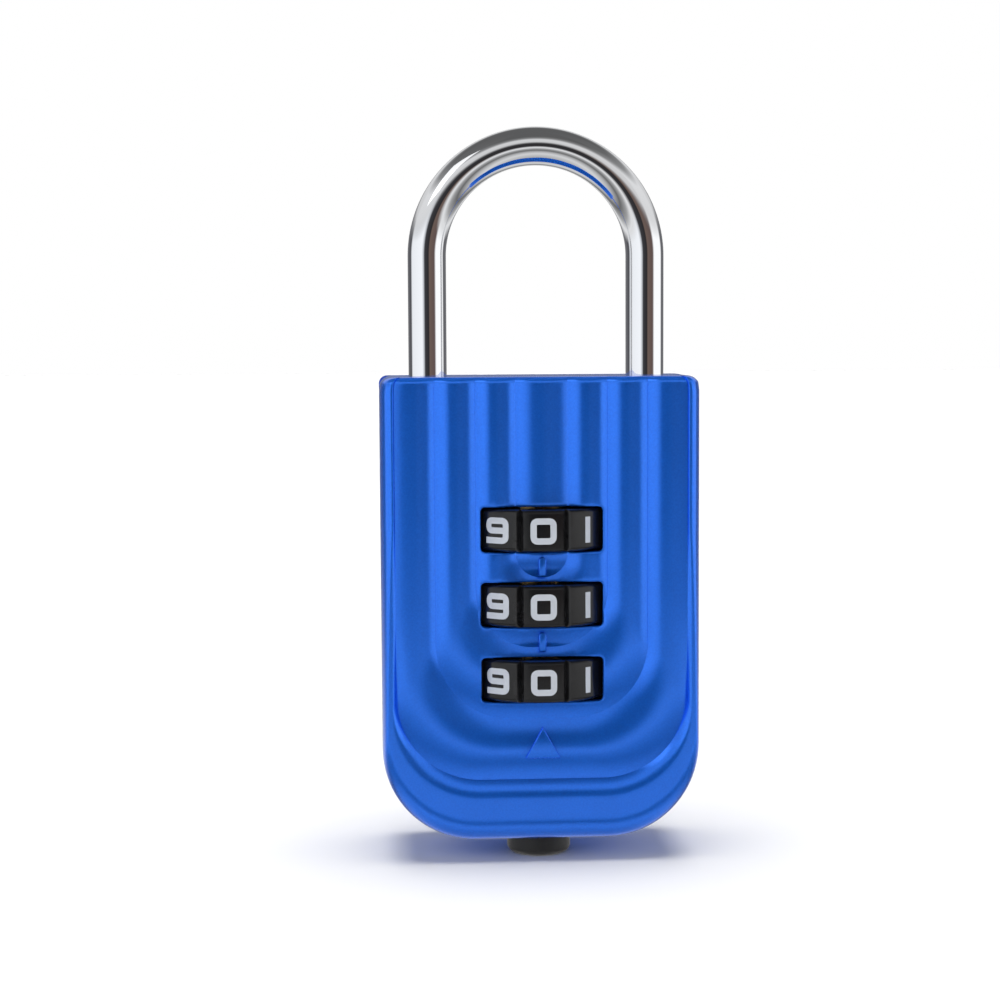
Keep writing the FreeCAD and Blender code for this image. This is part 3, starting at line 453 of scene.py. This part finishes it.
class PADLOCK_OT_front_cover(Operator):
    """Builds the fluted front cover with its windows, and the raised index marks"""
    bl_idname = "padlock.front_cover"
    bl_label = "Front cover"

    def execute(self, context):
        sizes = context.scene.padlock_sizes
        lacquer = blue_lacquer(context.scene.padlock_colours)
        front = Front(sizes)
        cover = cut(front.solid(), self.cutters(sizes, front))
        piece = finished("front_cover", cover, "case", lacquer)
        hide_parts("front_shell")
        self.marks(sizes, front, lacquer)
        return {"FINISHED"}

    def cutters(self, sizes, front):
        """The room inside, the windows, the dials' grooves, the leg holes and the button hole."""
        found = []
        room = bmesh.new()
        corner = sizes.bottom_corner - sizes.side_wall
        half = front.half - sizes.side_wall
        outline = [(half, front.top - sizes.side_wall), (-half, front.top - sizes.side_wall)]
        steps = 16
        for x, start in ((corner - half, 180), (half - corner, 270)):
            for step in range(steps + 1):
                angle = math.radians(start + 90 * step / steps)
                outline.append((x + corner * math.cos(angle),
                                front.bottom + sizes.side_wall + corner + corner * math.sin(angle)))
        wall = sizes.front_wall - sizes.face_depth
        ring = [room.verts.new((x, wall, z)) for x, z in outline]
        face = room.faces.new(ring)
        swept = bmesh.ops.extrude_face_region(room, geom=[face])["geom"]
        for item in swept:
            if isinstance(item, bmesh.types.BMVert):
                item.co.y = front.split + PAST
        found.append(room)
        low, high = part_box("dial_middle")
        axis = (low[1] + high[1]) / 2
        radius = (high[0] - low[0]) / 2 + sizes.dial_gap
        for middle in dial_middles():
            found.append(front.window(middle))
            groove = bmesh.new()
            drum(groove, (0, axis, middle), radius, sizes.window_height, 96)
            found.append(groove)
        for x in (-sizes.leg, sizes.leg):
            hole = bmesh.new()
            drum(hole, (x, 0, front.top), sizes.rod_radius + sizes.hole_gap, 4 * PAST, 64)
            found.append(hole)
        hole = bmesh.new()
        drum(hole, (0, axis, front.bottom), sizes.button_radius + sizes.hole_gap, 4 * PAST, 64)
        found.append(hole)
        return found

    def marks(self, sizes, front, lacquer):
        """Two bars over the lower windows and a triangle under them."""
        work = bmesh.new()
        crest = -sizes.face_depth - sizes.mark_height
        for middle in dial_middles()[1:]:
            foot = middle + sizes.window_height / 2 + sizes.bar_gap
            half = sizes.bar_width / 2
            outline = [(half, foot), (half, foot + sizes.bar_length - half)]
            outline += [(half * math.cos(math.radians(angle)),
                         foot + sizes.bar_length - half + half * math.sin(math.radians(angle)))
                        for angle in range(20, 180, 20)]
            outline += [(-half, foot + sizes.bar_length - half), (-half, foot)]
            self.mark(work, sizes, outline, crest, front.depth(0, foot))
        foot, half = sizes.triangle_base, sizes.triangle_width / 2
        outline = [(half, foot), (0, foot + sizes.triangle_height), (-half, foot)]
        self.mark(work, sizes, outline, crest, front.depth(0, foot + sizes.triangle_height / 2))
        finished("front_marks", work, "case", lacquer)

    def mark(self, work, sizes, outline, crest, surface):
        """One raised mark with rounded top edges."""
        face = work.faces.new([work.verts.new((x, surface + sizes.mark_root, z)) for x, z in outline])
        swept = bmesh.ops.extrude_face_region(work, geom=[face])["geom"]
        top = [item for item in swept if isinstance(item, bmesh.types.BMFace)]
        for item in swept:
            if isinstance(item, bmesh.types.BMVert):
                item.co.y = crest
        bmesh.ops.bevel(work, geom=list(top[0].edges), affect="EDGES", offset=sizes.mark_round,
                        segments=3, profile=0.5, material=-1)


# ---------------------------------------------------------------- other pieces

class PADLOCK_OT_back_cover(Operator):
    """Finishes the back cover and the rivets"""
    bl_idname = "padlock.back_cover"
    bl_label = "Back cover"

    def execute(self, context):
        lacquer = blue_lacquer(context.scene.padlock_colours)
        for node in ("back_shell", "case_rivets"):
            piece = settled(node + "_finished", cad_copy(node), "case", lacquer)
            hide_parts(node)
        return {"FINISHED"}


class PADLOCK_OT_shackle(Operator):
    """Builds the shackle's round rod, with its latch notches and the ring's groove"""
    bl_idname = "padlock.shackle"
    bl_label = "Shackle"
    ROUND = 72
    ARCH_STEPS = 96

    def execute(self, context):
        sizes = context.scene.padlock_sizes
        low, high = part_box("shackle")
        arch = high[2] - sizes.leg - sizes.rod_radius
        work = bmesh.new()
        circle = bmesh.ops.create_circle(work, cap_ends=False, segments=self.ROUND, radius=sizes.rod_radius,
                                         matrix=Matrix.Translation((sizes.leg, 0, arch)))["verts"]
        edges = list({edge for vertex in circle for edge in vertex.link_edges})
        end = bmesh.ops.spin(work, geom=edges, cent=(0, 0, arch), axis=(0, -1, 0), dvec=(0, 0, 0),
                             angle=math.pi, steps=self.ARCH_STEPS, use_merge=False)["geom_last"]
        end = [item for item in end if isinstance(item, bmesh.types.BMEdge)]
        self.leg(work, end, low[2], sizes.leg_chamfer)
        self.leg(work, edges, sizes.toe_height, sizes.leg_chamfer)
        bmesh.ops.recalc_face_normals(work, faces=work.faces)
        work = cut(work, self.cutters(sizes))
        piece = finished("shackle_rod", work, "shackle",
                         bright_chrome(context.scene.padlock_colours))
        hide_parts("shackle")
        return {"FINISHED"}

    def leg(self, work, edges, foot, chamfer):
        """A straight leg down to its chamfered foot."""
        for height, scale in ((foot + chamfer, 1.0), (foot, None)):
            swept = bmesh.ops.extrude_edge_only(work, edges=edges)["geom"]
            verts = [item for item in swept if isinstance(item, bmesh.types.BMVert)]
            edges = [item for item in swept if isinstance(item, bmesh.types.BMEdge)]
            middle = sum((vertex.co for vertex in verts), Vector()) / len(verts)
            for vertex in verts:
                vertex.co.z = height
                if scale is None:
                    out = Vector((vertex.co.x - middle.x, vertex.co.y, 0))
                    vertex.co -= out.normalized() * chamfer
        bmesh.ops.edgeloop_fill(work, edges=edges)

    def cutters(self, sizes):
        """The latch notches in both legs and the retaining ring's neck in the long one."""
        low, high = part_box("latch_spring")
        inner = sizes.leg - sizes.rod_radius
        found = []
        for sign in (-1, 1):
            notch = bmesh.new()
            width = sizes.notch_depth + PAST
            block(notch, (sign * (inner + sizes.notch_depth - width / 2), 0, (low[2] + high[2]) / 2),
                  (width, 3 * sizes.rod_radius, high[2] - low[2] + 2 * sizes.notch_gap))
            found.append(notch)
        low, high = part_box("heel_retaining_ring")
        neck = bmesh.new()
        inner, outer = sizes.neck_radius, sizes.rod_radius + PAST
        place = Matrix.LocRotScale(Vector(((inner + outer) / 2 - sizes.leg, 0, (low[2] + high[2]) / 2)),
                                   Matrix.Rotation(math.pi / 2, 3, "X").to_quaternion(),
                                   Vector((outer - inner, high[2] - low[2] + sizes.hole_gap, 1)))
        bmesh.ops.create_grid(neck, x_segments=1, y_segments=1, size=0.5, matrix=place)
        bmesh.ops.delete(neck, geom=list(neck.faces), context="FACES_ONLY")
        bmesh.ops.spin(neck, geom=list(neck.edges), cent=(-sizes.leg, 0, 0), axis=(0, 0, 1), dvec=(0, 0, 0),
                       angle=2 * math.pi, steps=self.ROUND, use_merge=True)
        found.append(neck)
        return found


class PADLOCK_OT_dials(Operator):
    """Finishes the three dials and sets the digits into them"""
    bl_idname = "padlock.dials"
    bl_label = "Dials"

    def execute(self, context):
        sizes = context.scene.padlock_sizes
        colours = context.scene.padlock_colours
        black = dial_black(colours)
        paint = digit_paint(colours)
        for name in DIAL_NAMES:
            piece = settled(name + "_finished", cad_copy(name), name, black)
            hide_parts(name)
            self.digits(name, sizes, paint)
        return {"FINISHED"}

    def digits(self, name, sizes, paint):
        """Ten digits round one dial, 0 at the front and 1 on its right."""
        low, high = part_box(name)
        radius, middle = (high[0] - low[0]) / 2, (low[2] + high[2]) / 2
        axis = (low[1] + high[1]) / 2
        work = bmesh.new()
        for digit in range(DIGIT_COUNT):
            shape = digit_strokes(digit, sizes)
            turn = 2 * math.pi * digit / DIGIT_COUNT
            for vertex in shape.verts:
                angle = vertex.co.x / radius + turn
                out = radius - sizes.digit_root + vertex.co.y
                vertex.co = (out * math.sin(angle), axis - out * math.cos(angle), middle + vertex.co.z)
            mesh = bpy.data.meshes.new("digit")
            shape.to_mesh(mesh)
            shape.free()
            work.from_mesh(mesh)
            bpy.data.meshes.remove(mesh)
        finished(name + "_digits", work, name, paint)


STROKE_LIFT = 0.003 * MM  # a digit's second stroke lies this much over its first
PATH_STEP = 0.25 * MM
TURN_STEPS = 6
STROKES = {
    0: ["TL TR BR BL TL"],
    1: ["T B"],
    2: ["TL TR MR ML BL BR"],
    3: ["TL TR BR BL", "ML MR"],
    4: ["TL ML MR", "TR BR"],
    5: ["TR TL ML MR BR BL"],
    6: ["TR TL BL BR MR ML"],
    7: ["TL TR BR"],
    8: ["TL TR BR BL TL", "ML MR"],
    9: ["MR ML TL TR BR BL"],
}


def digit_strokes(digit, sizes):
    """One digit as solid strokes: X to the right, Y outwards and Z up."""
    reach = (sizes.digit_size - sizes.digit_stroke) / 2
    places = {"L": -reach, "R": reach, "T": reach, "B": -reach, "M": 0.0}
    shape = bmesh.new()
    for lift, path in enumerate(STROKES[digit]):
        corners = []
        for word in path.split():
            if len(word) == 1:
                corners.append((0.0, places[word]))
            else:
                corners.append((places[word[1]], places[word[0]]))
        closed = corners[0] == corners[-1]
        if not closed:
            for end, inner in ((0, 1), (-1, -2)):
                run = Vector(corners[end]) - Vector(corners[inner])
                corners[end] = Vector(corners[end]) + run.normalized() * sizes.digit_stroke / 2
        stroke(shape, smooth_path(corners, closed, sizes.digit_round), closed, sizes.digit_stroke,
               sizes.digit_height + sizes.digit_root + STROKE_LIFT * lift)
    return shape


def smooth_path(corners, closed, radius):
    """The corners joined by short straight steps and rounded turns."""
    points = []
    count = len(corners) - 1 if closed else len(corners)
    for number in range(count):
        here = Vector(corners[number])
        if not closed and number in (0, count - 1):
            points.append(here)
            continue
        before, after = Vector(corners[number - 1]), Vector(corners[(number + 1) % count])
        if closed and number == 0:
            before = Vector(corners[count - 1])
        back, on = (before - here).normalized(), (after - here).normalized()
        cut_back = min(radius, (before - here).length / 2.2, (after - here).length / 2.2)
        first, last = here + back * cut_back, here + on * cut_back
        for step in range(TURN_STEPS + 1):
            share = step / TURN_STEPS
            points.append(first.lerp(here, share).lerp(here.lerp(last, share), share))
    dense = []
    ends = points + [points[0]] if closed else points
    for first, second in zip(ends, ends[1:]):
        steps = max(1, math.ceil((second - first).length / PATH_STEP))
        dense += [first.lerp(second, step / steps) for step in range(steps)]
    if not closed:
        dense.append(points[-1])
    return dense


def stroke(shape, path, closed, width, height):
    """A flat ribbon along the path, as a closed solid."""
    verts = [shape.verts.new((point.x, 0, point.y)) for point in path]
    pairs = list(zip(verts, verts[1:])) + ([(verts[-1], verts[0])] if closed else [])
    edges = [shape.edges.new(pair) for pair in pairs]
    swept = bmesh.ops.extrude_edge_only(shape, edges=edges)["geom"]
    for item in swept:
        if isinstance(item, bmesh.types.BMVert):
            item.co.y = height
    walls = [item for item in swept if isinstance(item, bmesh.types.BMFace)]
    bmesh.ops.recalc_face_normals(shape, faces=walls)
    move = {}
    for wall in walls:
        for vertex in wall.verts:
            move.setdefault(vertex, Vector())
            move[vertex] += wall.normal
    for vertex, normal in move.items():
        vertex.co -= normal.normalized() * width / 2
    bmesh.ops.solidify(shape, geom=walls, thickness=-width)


class PADLOCK_OT_button(Operator):
    """Finishes the push button"""
    bl_idname = "padlock.button"
    bl_label = "Button"

    def execute(self, context):
        piece = settled("button_finished", cad_copy("button"), "push_rod",
                        button_black(context.scene.padlock_colours))
        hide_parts("button")
        return {"FINISHED"}


class PADLOCK_OT_inner_pieces(Operator):
    """Gives the pieces inside the body their metal finishes"""
    bl_idname = "padlock.inner_pieces"
    bl_label = "Inner pieces"

    def execute(self, context):
        colours = context.scene.padlock_colours
        finishes = {
            "brass": turned_brass(colours),
            "zinc": cast_zinc(colours),
            "spring_steel": bright_steel(colours),
        }
        for entry in frame["record"]["subparts"]:
            finish = finishes.get(entry["material_slot"])
            if finish:
                node = frame["nodes"][entry["node"]]
                node.data.materials.clear()
                node.data.materials.append(finish)
        return {"FINISHED"}


# ---------------------------------------------------------------- materials

def node_group(name, inputs, outputs):
    """An empty shader node group with named sockets, and its two end nodes."""
    tree = bpy.data.node_groups.new(name, "ShaderNodeTree")
    for label, kind, default in inputs:
        socket = tree.interface.new_socket(label, in_out="INPUT", socket_type=kind)
        socket.default_value = default
    for label, kind in outputs:
        tree.interface.new_socket(label, in_out="OUTPUT", socket_type=kind)
    return tree, tree.nodes.new("NodeGroupInput"), tree.nodes.new("NodeGroupOutput")


def math_node(tree, operation, *values):
    """A Math node whose inputs are numbers or sockets."""
    node = tree.nodes.new("ShaderNodeMath")
    node.operation = operation
    for socket, value in zip(node.inputs, values):
        if isinstance(value, (int, float)):
            socket.default_value = value
        else:
            tree.links.new(value, socket)
    return node.outputs[0]


def fine_grain_group():
    """Fine unevenness of a moulded, plated or sprayed surface: a mask and a height."""
    name = "Fine Grain"
    if name in bpy.data.node_groups:
        return bpy.data.node_groups[name]
    number = "NodeSocketFloat"
    tree, start, end = node_group(name, [("Scale", number, 900.0), ("Patch Scale", number, 60.0)],
                                  [("Mask", number), ("Height", number), ("Patches", number)])
    place = tree.nodes.new("ShaderNodeTexCoord")
    fine = tree.nodes.new("ShaderNodeTexNoise")
    fine.inputs["Detail"].default_value = 3.0
    tree.links.new(place.outputs["Object"], fine.inputs["Vector"])
    tree.links.new(start.outputs["Scale"], fine.inputs["Scale"])
    patch = tree.nodes.new("ShaderNodeTexNoise")
    patch.inputs["Detail"].default_value = 4.0
    tree.links.new(place.outputs["Object"], patch.inputs["Vector"])
    tree.links.new(start.outputs["Patch Scale"], patch.inputs["Scale"])
    sharp = tree.nodes.new("ShaderNodeMapRange")
    sharp.inputs["From Min"].default_value = 0.35
    sharp.inputs["From Max"].default_value = 0.65
    tree.links.new(fine.outputs["Fac"], sharp.inputs["Value"])
    tree.links.new(sharp.outputs["Result"], end.inputs["Mask"])
    tree.links.new(fine.outputs["Fac"], end.inputs["Height"])
    tree.links.new(patch.outputs["Fac"], end.inputs["Patches"])
    return tree


def edge_highlight_group():
    """Painted highlight: the sharp outer edges made lighter, broken up by noise."""
    name = "Edge Wear"
    if name in bpy.data.node_groups:
        return bpy.data.node_groups[name]
    number = "NodeSocketFloat"
    tree, start, end = node_group(name, [("Amount", number, 0.5), ("Scale", number, 400.0)],
                                  [("Mask", number)])
    shape = tree.nodes.new("ShaderNodeNewGeometry")
    ridge = tree.nodes.new("ShaderNodeMapRange")
    ridge.inputs["From Min"].default_value = 0.53
    ridge.inputs["From Max"].default_value = 0.62
    tree.links.new(shape.outputs["Pointiness"], ridge.inputs["Value"])
    place = tree.nodes.new("ShaderNodeTexCoord")
    noise = tree.nodes.new("ShaderNodeTexNoise")
    noise.inputs["Detail"].default_value = 5.0
    tree.links.new(place.outputs["Object"], noise.inputs["Vector"])
    tree.links.new(start.outputs["Scale"], noise.inputs["Scale"])
    broken = math_node(tree, "GREATER_THAN", noise.outputs["Fac"], 0.5)
    # the painted highlight's mask: sharp edges, where the noise lets it through
    edge_highlight = math_node(tree, "MULTIPLY", ridge.outputs["Result"], broken)
    tree.links.new(math_node(tree, "MULTIPLY", edge_highlight, start.outputs["Amount"]), end.inputs["Mask"])
    return tree


def material(name):
    """A new material with its shader: returns the material, its tree and the shader."""
    made = bpy.data.materials.new(name)
    made.use_nodes = True
    return made, made.node_tree, made.node_tree.nodes["Principled BSDF"]


def use_group(tree, group, **values):
    """Places a node group with its own values."""
    node = tree.nodes.new("ShaderNodeGroup")
    node.node_tree = group
    for label, value in values.items():
        node.inputs[label.replace("_", " ")].default_value = value
    return node


def between(tree, factor, low, high):
    """A number that runs from low to high with the factor."""
    spread = tree.nodes.new("ShaderNodeMapRange")
    spread.inputs["To Min"].default_value = low
    spread.inputs["To Max"].default_value = high
    tree.links.new(factor, spread.inputs["Value"])
    return spread.outputs["Result"]


def blended(tree, factor, first, second):
    """A colour that runs from the first to the second with the factor."""
    mix = tree.nodes.new("ShaderNodeMix")
    mix.data_type = "RGBA"
    mix.inputs["A"].default_value = (*first, 1)
    mix.inputs["B"].default_value = (*second, 1)
    tree.links.new(factor, mix.inputs["Factor"])
    return mix.outputs["Result"]


def bumped(tree, shader, height, strength, distance):
    """Bump on a shader's normal."""
    bump = tree.nodes.new("ShaderNodeBump")
    bump.inputs["Strength"].default_value = strength
    bump.inputs["Distance"].default_value = distance
    tree.links.new(height, bump.inputs["Height"])
    tree.links.new(bump.outputs["Normal"], shader.inputs["Normal"])


def shaded(colour_value, factor):
    return tuple(min(1.0, channel * factor) for channel in colour_value)


def finish(name, tones, grain, rough, bump, tone_by="Patches", rough_by="Patches", **constants):
    """A material whose colour, roughness and bump follow the fine grain.

    grain is (scale, patch scale), bump is (output, strength, distance in millimetres), and the
    constants are the shader's own values. The edge choice of tone_by puts the second tone on sharp edges as
    a painted highlight.
    """
    if name in bpy.data.materials:
        return bpy.data.materials[name]
    made, tree, shader = material(name)
    outputs = use_group(tree, fine_grain_group(), Scale=grain[0], Patch_Scale=grain[1]).outputs
    # the edge mask puts the second tone on sharp edges as a painted highlight
    if tone_by == "Wear":
        spread = use_group(tree, edge_highlight_group(), Amount=0.5, Scale=900.0).outputs["Mask"]
    else:
        spread = outputs[tone_by]
    tree.links.new(blended(tree, spread, *tones), shader.inputs["Base Color"])
    tree.links.new(between(tree, outputs[rough_by], *rough), shader.inputs["Roughness"])
    source, strength, distance = bump
    bumped(tree, shader, outputs[source], strength, distance * MM)
    for label, value in constants.items():
        shader.inputs[label.replace("_", " ")].default_value = value
    return made


def blue_lacquer(colours):
    """Clear blue lacquer over bright metal: fine flake in the colour, a smooth coat on top."""
    tones = (shaded(colours.lacquer, 0.93), shaded(colours.lacquer, 1.07))
    return finish("lacquer_finish", tones, (5200.0, 260.0), (0.17, 0.24), ("Patches", 0.25, 0.02),
                  tone_by="Mask", Metallic=0.64, Coat_Weight=0.3, Coat_Roughness=0.06)


def bright_chrome(colours):
    """Polished chrome plate with faint polishing marks."""
    tones = (shaded(colours.chrome, 0.96), tuple(colours.chrome))
    return finish("chrome_finish", tones, (2600.0, 120.0), (0.02, 0.045), ("Patches", 0.15, 0.01),
                  Metallic=1.0)


def dial_black(colours):
    """Glossy black moulded plastic with a painted highlight on the notches' sharp edges."""
    tones = (tuple(colours.dial), tuple(colours.edge_highlight))
    return finish("dial_black", tones, (3000.0, 300.0), (0.12, 0.20), ("Height", 0.08, 0.02),
                  # the lighter second tone is a painted highlight on the dials' sharp edges
                  tone_by="Wear", Specular_IOR_Level=0.4)


def digit_paint(colours):
    """Pale paint, slightly uneven and a little rough."""
    tones = (shaded(colours.digit, 0.9), tuple(colours.digit))
    return finish("digit_paint", tones, (2500.0, 500.0), (0.42, 0.55), ("Height", 0.1, 0.02),
                  rough_by="Mask")


def button_black(colours):
    """Satin black plastic with a fine moulded texture."""
    tones = (shaded(colours.button, 0.8), shaded(colours.button, 1.5))
    return finish("button_black", tones, (4000.0, 250.0), (0.36, 0.5), ("Height", 0.3, 0.03),
                  rough_by="Mask")


def plain_metal(name, base, rough, grain_scale, bump):
    """Bare metal with uneven roughness and a fine surface."""
    tones = (shaded(base, 0.85), shaded(base, 1.08))
    return finish(name, tones, (grain_scale, 200.0), rough, ("Height", bump, 0.03),
                  rough_by="Mask", Metallic=1.0)


def turned_brass(colours):
    return plain_metal("turned_brass", colours.brass, (0.24, 0.34), 1800.0, 0.12)


def cast_zinc(colours):
    return plain_metal("cast_zinc", colours.zinc, (0.42, 0.6), 1500.0, 0.35)


def bright_steel(colours):
    return plain_metal("bright_steel", colours.steel, (0.2, 0.32), 2600.0, 0.08)


# ---------------------------------------------------------------- studio

class PADLOCK_OT_studio(Operator):
    """Sets up the floor, the lights, the surroundings and the camera"""
    bl_idname = "padlock.studio"
    bl_label = "Studio"

    def execute(self, context):
        scene = context.scene
        self.floor(scene)
        self.lights(scene)
        self.surroundings(scene)
        self.camera(scene)
        scene.view_settings.view_transform = "Standard"
        return {"FINISHED"}

    def floor(self, scene):
        work = bmesh.new()
        bmesh.ops.create_grid(work, x_segments=1, y_segments=1, size=3.0)
        mesh = bpy.data.meshes.new("studio_floor")
        work.to_mesh(mesh)
        work.free()
        floor = bpy.data.objects.new("studio_floor", mesh)
        scene.collection.objects.link(floor)
        made, tree, shader = material("studio_floor")
        tone = tuple(scene.padlock_colours.floor)
        noise = tree.nodes.new("ShaderNodeTexNoise")
        noise.inputs["Scale"].default_value = 2.0
        uneven = blended(tree, noise.outputs["Fac"], shaded(tone, 0.99), tone)
        tree.links.new(uneven, shader.inputs["Base Color"])
        shader.inputs["Roughness"].default_value = 0.9
        shader.inputs["Specular IOR Level"].default_value = 0.1
        mesh.materials.append(made)
        floor.visible_glossy = False

    def lights(self, scene):
        """A wide soft light from overhead for the floor, and a softbox up to the left."""
        overhead = bpy.data.lights.new("overhead_light", "SUN")
        overhead.energy = 2.75
        overhead.angle = math.radians(40)
        holder = bpy.data.objects.new("overhead_light", overhead)
        scene.collection.objects.link(holder)
        holder.visible_glossy = False
        key = bpy.data.lights.new("key_softbox", "AREA")
        key.shape = "SQUARE"
        key.size = 0.35
        key.energy = 0.35
        holder = bpy.data.objects.new("key_softbox", key)
        scene.collection.objects.link(holder)
        holder.location = (-0.45, -0.40, 0.55)
        aim = Vector((0, 0, 0.03)) - holder.location
        holder.rotation_euler = aim.to_track_quat("-Z", "Y").to_euler()

    def surroundings(self, scene):
        """A room with a pale softbox on each side, dark in front, grey overhead and pale low down.

        The stops of around are (degrees, colour), with 0 in front (-Y) and 90 on the right (+X).
        Those of levels and shares are (sine of the elevation, grey) and (sine, share of levels).
        """
        world = bpy.data.worlds.new("studio")
        scene.world = world
        world.use_nodes = True
        tree = world.node_tree
        room = tree.nodes["Background"]
        place = tree.nodes.new("ShaderNodeTexCoord")
        parts = tree.nodes.new("ShaderNodeSeparateXYZ")
        tree.links.new(place.outputs["Generated"], parts.inputs["Vector"])
        towards = math_node(tree, "MULTIPLY", parts.outputs["Y"], -1.0)
        azimuth = math_node(tree, "ARCTAN2", parts.outputs["X"], towards)
        share = math_node(tree, "MULTIPLY_ADD", azimuth, 1 / (2 * math.pi), 0.5)
        around = tree.nodes.new("ShaderNodeValToRGB")
        tree.links.new(share, around.inputs["Fac"])
        stops = ((-180, (0.25, 0.25, 0.26)), (-114, (0.08, 0.08, 0.09)), (-102, (0.95, 0.97, 1.0)),
                 (-32, (1.05, 1.07, 1.1)), (-22, (0.6, 0.62, 0.65)), (-15, (0.05, 0.05, 0.055)),
                 (8, (0.03, 0.028, 0.03)), (13, (0.17, 0.12, 0.10)), (44, (0.13, 0.09, 0.085)),
                 (54, (1.15, 1.15, 1.15)), (104, (1.15, 1.15, 1.15)), (116, (0.12, 0.12, 0.13)),
                 (180, (0.25, 0.25, 0.26)))
        fill_ramp(around, [(0.5 + degrees / 360, tone) for degrees, tone in stops])
        height = math_node(tree, "MULTIPLY_ADD", parts.outputs["Z"], 0.5, 0.5)
        upright = tree.nodes.new("ShaderNodeValToRGB")
        tree.links.new(height, upright.inputs["Fac"])
        levels = ((-1.0, 0.45), (-0.78, 0.75), (-0.64, 0.5), (-0.5, 0.16), (-0.36, 0.4),
                  (-0.25, 0.85), (-0.1, 0.8), (0.2, 0.4), (0.34, 0.75), (0.55, 0.8), (0.68, 0.25),
                  (0.8, 0.12), (1.0, 0.12))
        fill_ramp(upright, [(0.5 + sine / 2, (tone, tone, tone)) for sine, tone in levels])
        weight = tree.nodes.new("ShaderNodeValToRGB")
        tree.links.new(height, weight.inputs["Fac"])
        shares = ((-1.0, 1.0), (-0.22, 1.0), (-0.09, 0.0), (0.16, 0.0), (0.34, 0.9), (1.0, 1.0))
        fill_ramp(weight, [(0.5 + sine / 2, (share, share, share)) for sine, share in shares])
        both = tree.nodes.new("ShaderNodeMix")
        both.data_type = "RGBA"
        tree.links.new(weight.outputs["Color"], both.inputs["Factor"])
        tree.links.new(around.outputs["Color"], both.inputs["A"])
        tree.links.new(upright.outputs["Color"], both.inputs["B"])
        tree.links.new(both.outputs["Result"], room.inputs["Color"])
        backdrop = tree.nodes.new("ShaderNodeBackground")
        backdrop.inputs["Color"].default_value = (1, 1, 1, 1)
        seen = tree.nodes.new("ShaderNodeLightPath")
        choice = tree.nodes.new("ShaderNodeMixShader")
        tree.links.new(seen.outputs["Is Camera Ray"], choice.inputs["Fac"])
        tree.links.new(room.outputs["Background"], choice.inputs[1])
        tree.links.new(backdrop.outputs["Background"], choice.inputs[2])
        tree.links.new(choice.outputs["Shader"], tree.nodes["World Output"].inputs["Surface"])

    def camera(self, scene):
        lens = bpy.data.cameras.new("camera")
        lens.lens = 72.0
        lens.sensor_width = 36.0
        lens.clip_start = 0.01
        lens.clip_end = 20.0
        camera = bpy.data.objects.new("camera", lens)
        scene.collection.objects.link(camera)
        camera.location = (-0.0173, -0.216, 0.056)
        yaw = Matrix.Rotation(math.radians(-3.52), 3, "Z")
        pitch = Matrix.Rotation(math.radians(90 - 4.64), 3, "X")
        roll = Matrix.Rotation(math.radians(-0.3), 3, "Z")
        camera.rotation_euler = (yaw @ pitch @ roll).to_euler()
        scene.camera = camera


def fill_ramp(ramp, stops):
    """Sets a ColorRamp's stops."""
    elements = ramp.color_ramp.elements
    elements[0].position, elements[0].color = stops[0][0], (*stops[0][1], 1)
    elements[-1].position, elements[-1].color = stops[-1][0], (*stops[-1][1], 1)
    for position, tone in stops[1:-1]:
        elements.new(position).color = (*tone, 1)


# ---------------------------------------------------------------- panel and registration

class PADLOCK_PT_builder(Panel):
    """Buttons for each piece, with the sizes and colours"""
    bl_idname = "PADLOCK_PT_builder"
    bl_label = "Combination padlock"
    bl_space_type = "VIEW_3D"
    bl_region_type = "UI"
    bl_category = "Padlock"

    def draw(self, context):
        layout = self.layout
        for operator in OPERATORS:
            layout.operator(operator.bl_idname)
        for group in (context.scene.padlock_sizes, context.scene.padlock_colours):
            box = layout.box()
            for name in group.__annotations__:
                box.prop(group, name)


OPERATORS = (PADLOCK_OT_front_cover, PADLOCK_OT_back_cover, PADLOCK_OT_shackle, PADLOCK_OT_dials,
             PADLOCK_OT_button, PADLOCK_OT_inner_pieces, PADLOCK_OT_studio)
CLASSES = (PadlockSizes, PadlockColours, *OPERATORS, PADLOCK_PT_builder)


def register():
    for one in CLASSES:
        bpy.utils.register_class(one)
    bpy.types.Scene.padlock_sizes = PointerProperty(type=PadlockSizes)
    bpy.types.Scene.padlock_colours = PointerProperty(type=PadlockColours)


def unregister():
    del bpy.types.Scene.padlock_colours
    del bpy.types.Scene.padlock_sizes
    for one in reversed(CLASSES):
        bpy.utils.unregister_class(one)


def main():
    register()
    bpy.ops.padlock.front_cover()
    bpy.ops.padlock.back_cover()
    bpy.ops.padlock.shackle()
    bpy.ops.padlock.dials()
    bpy.ops.padlock.button()
    bpy.ops.padlock.inner_pieces()
    bpy.ops.padlock.studio()


if __name__ == "__main__":
    main()
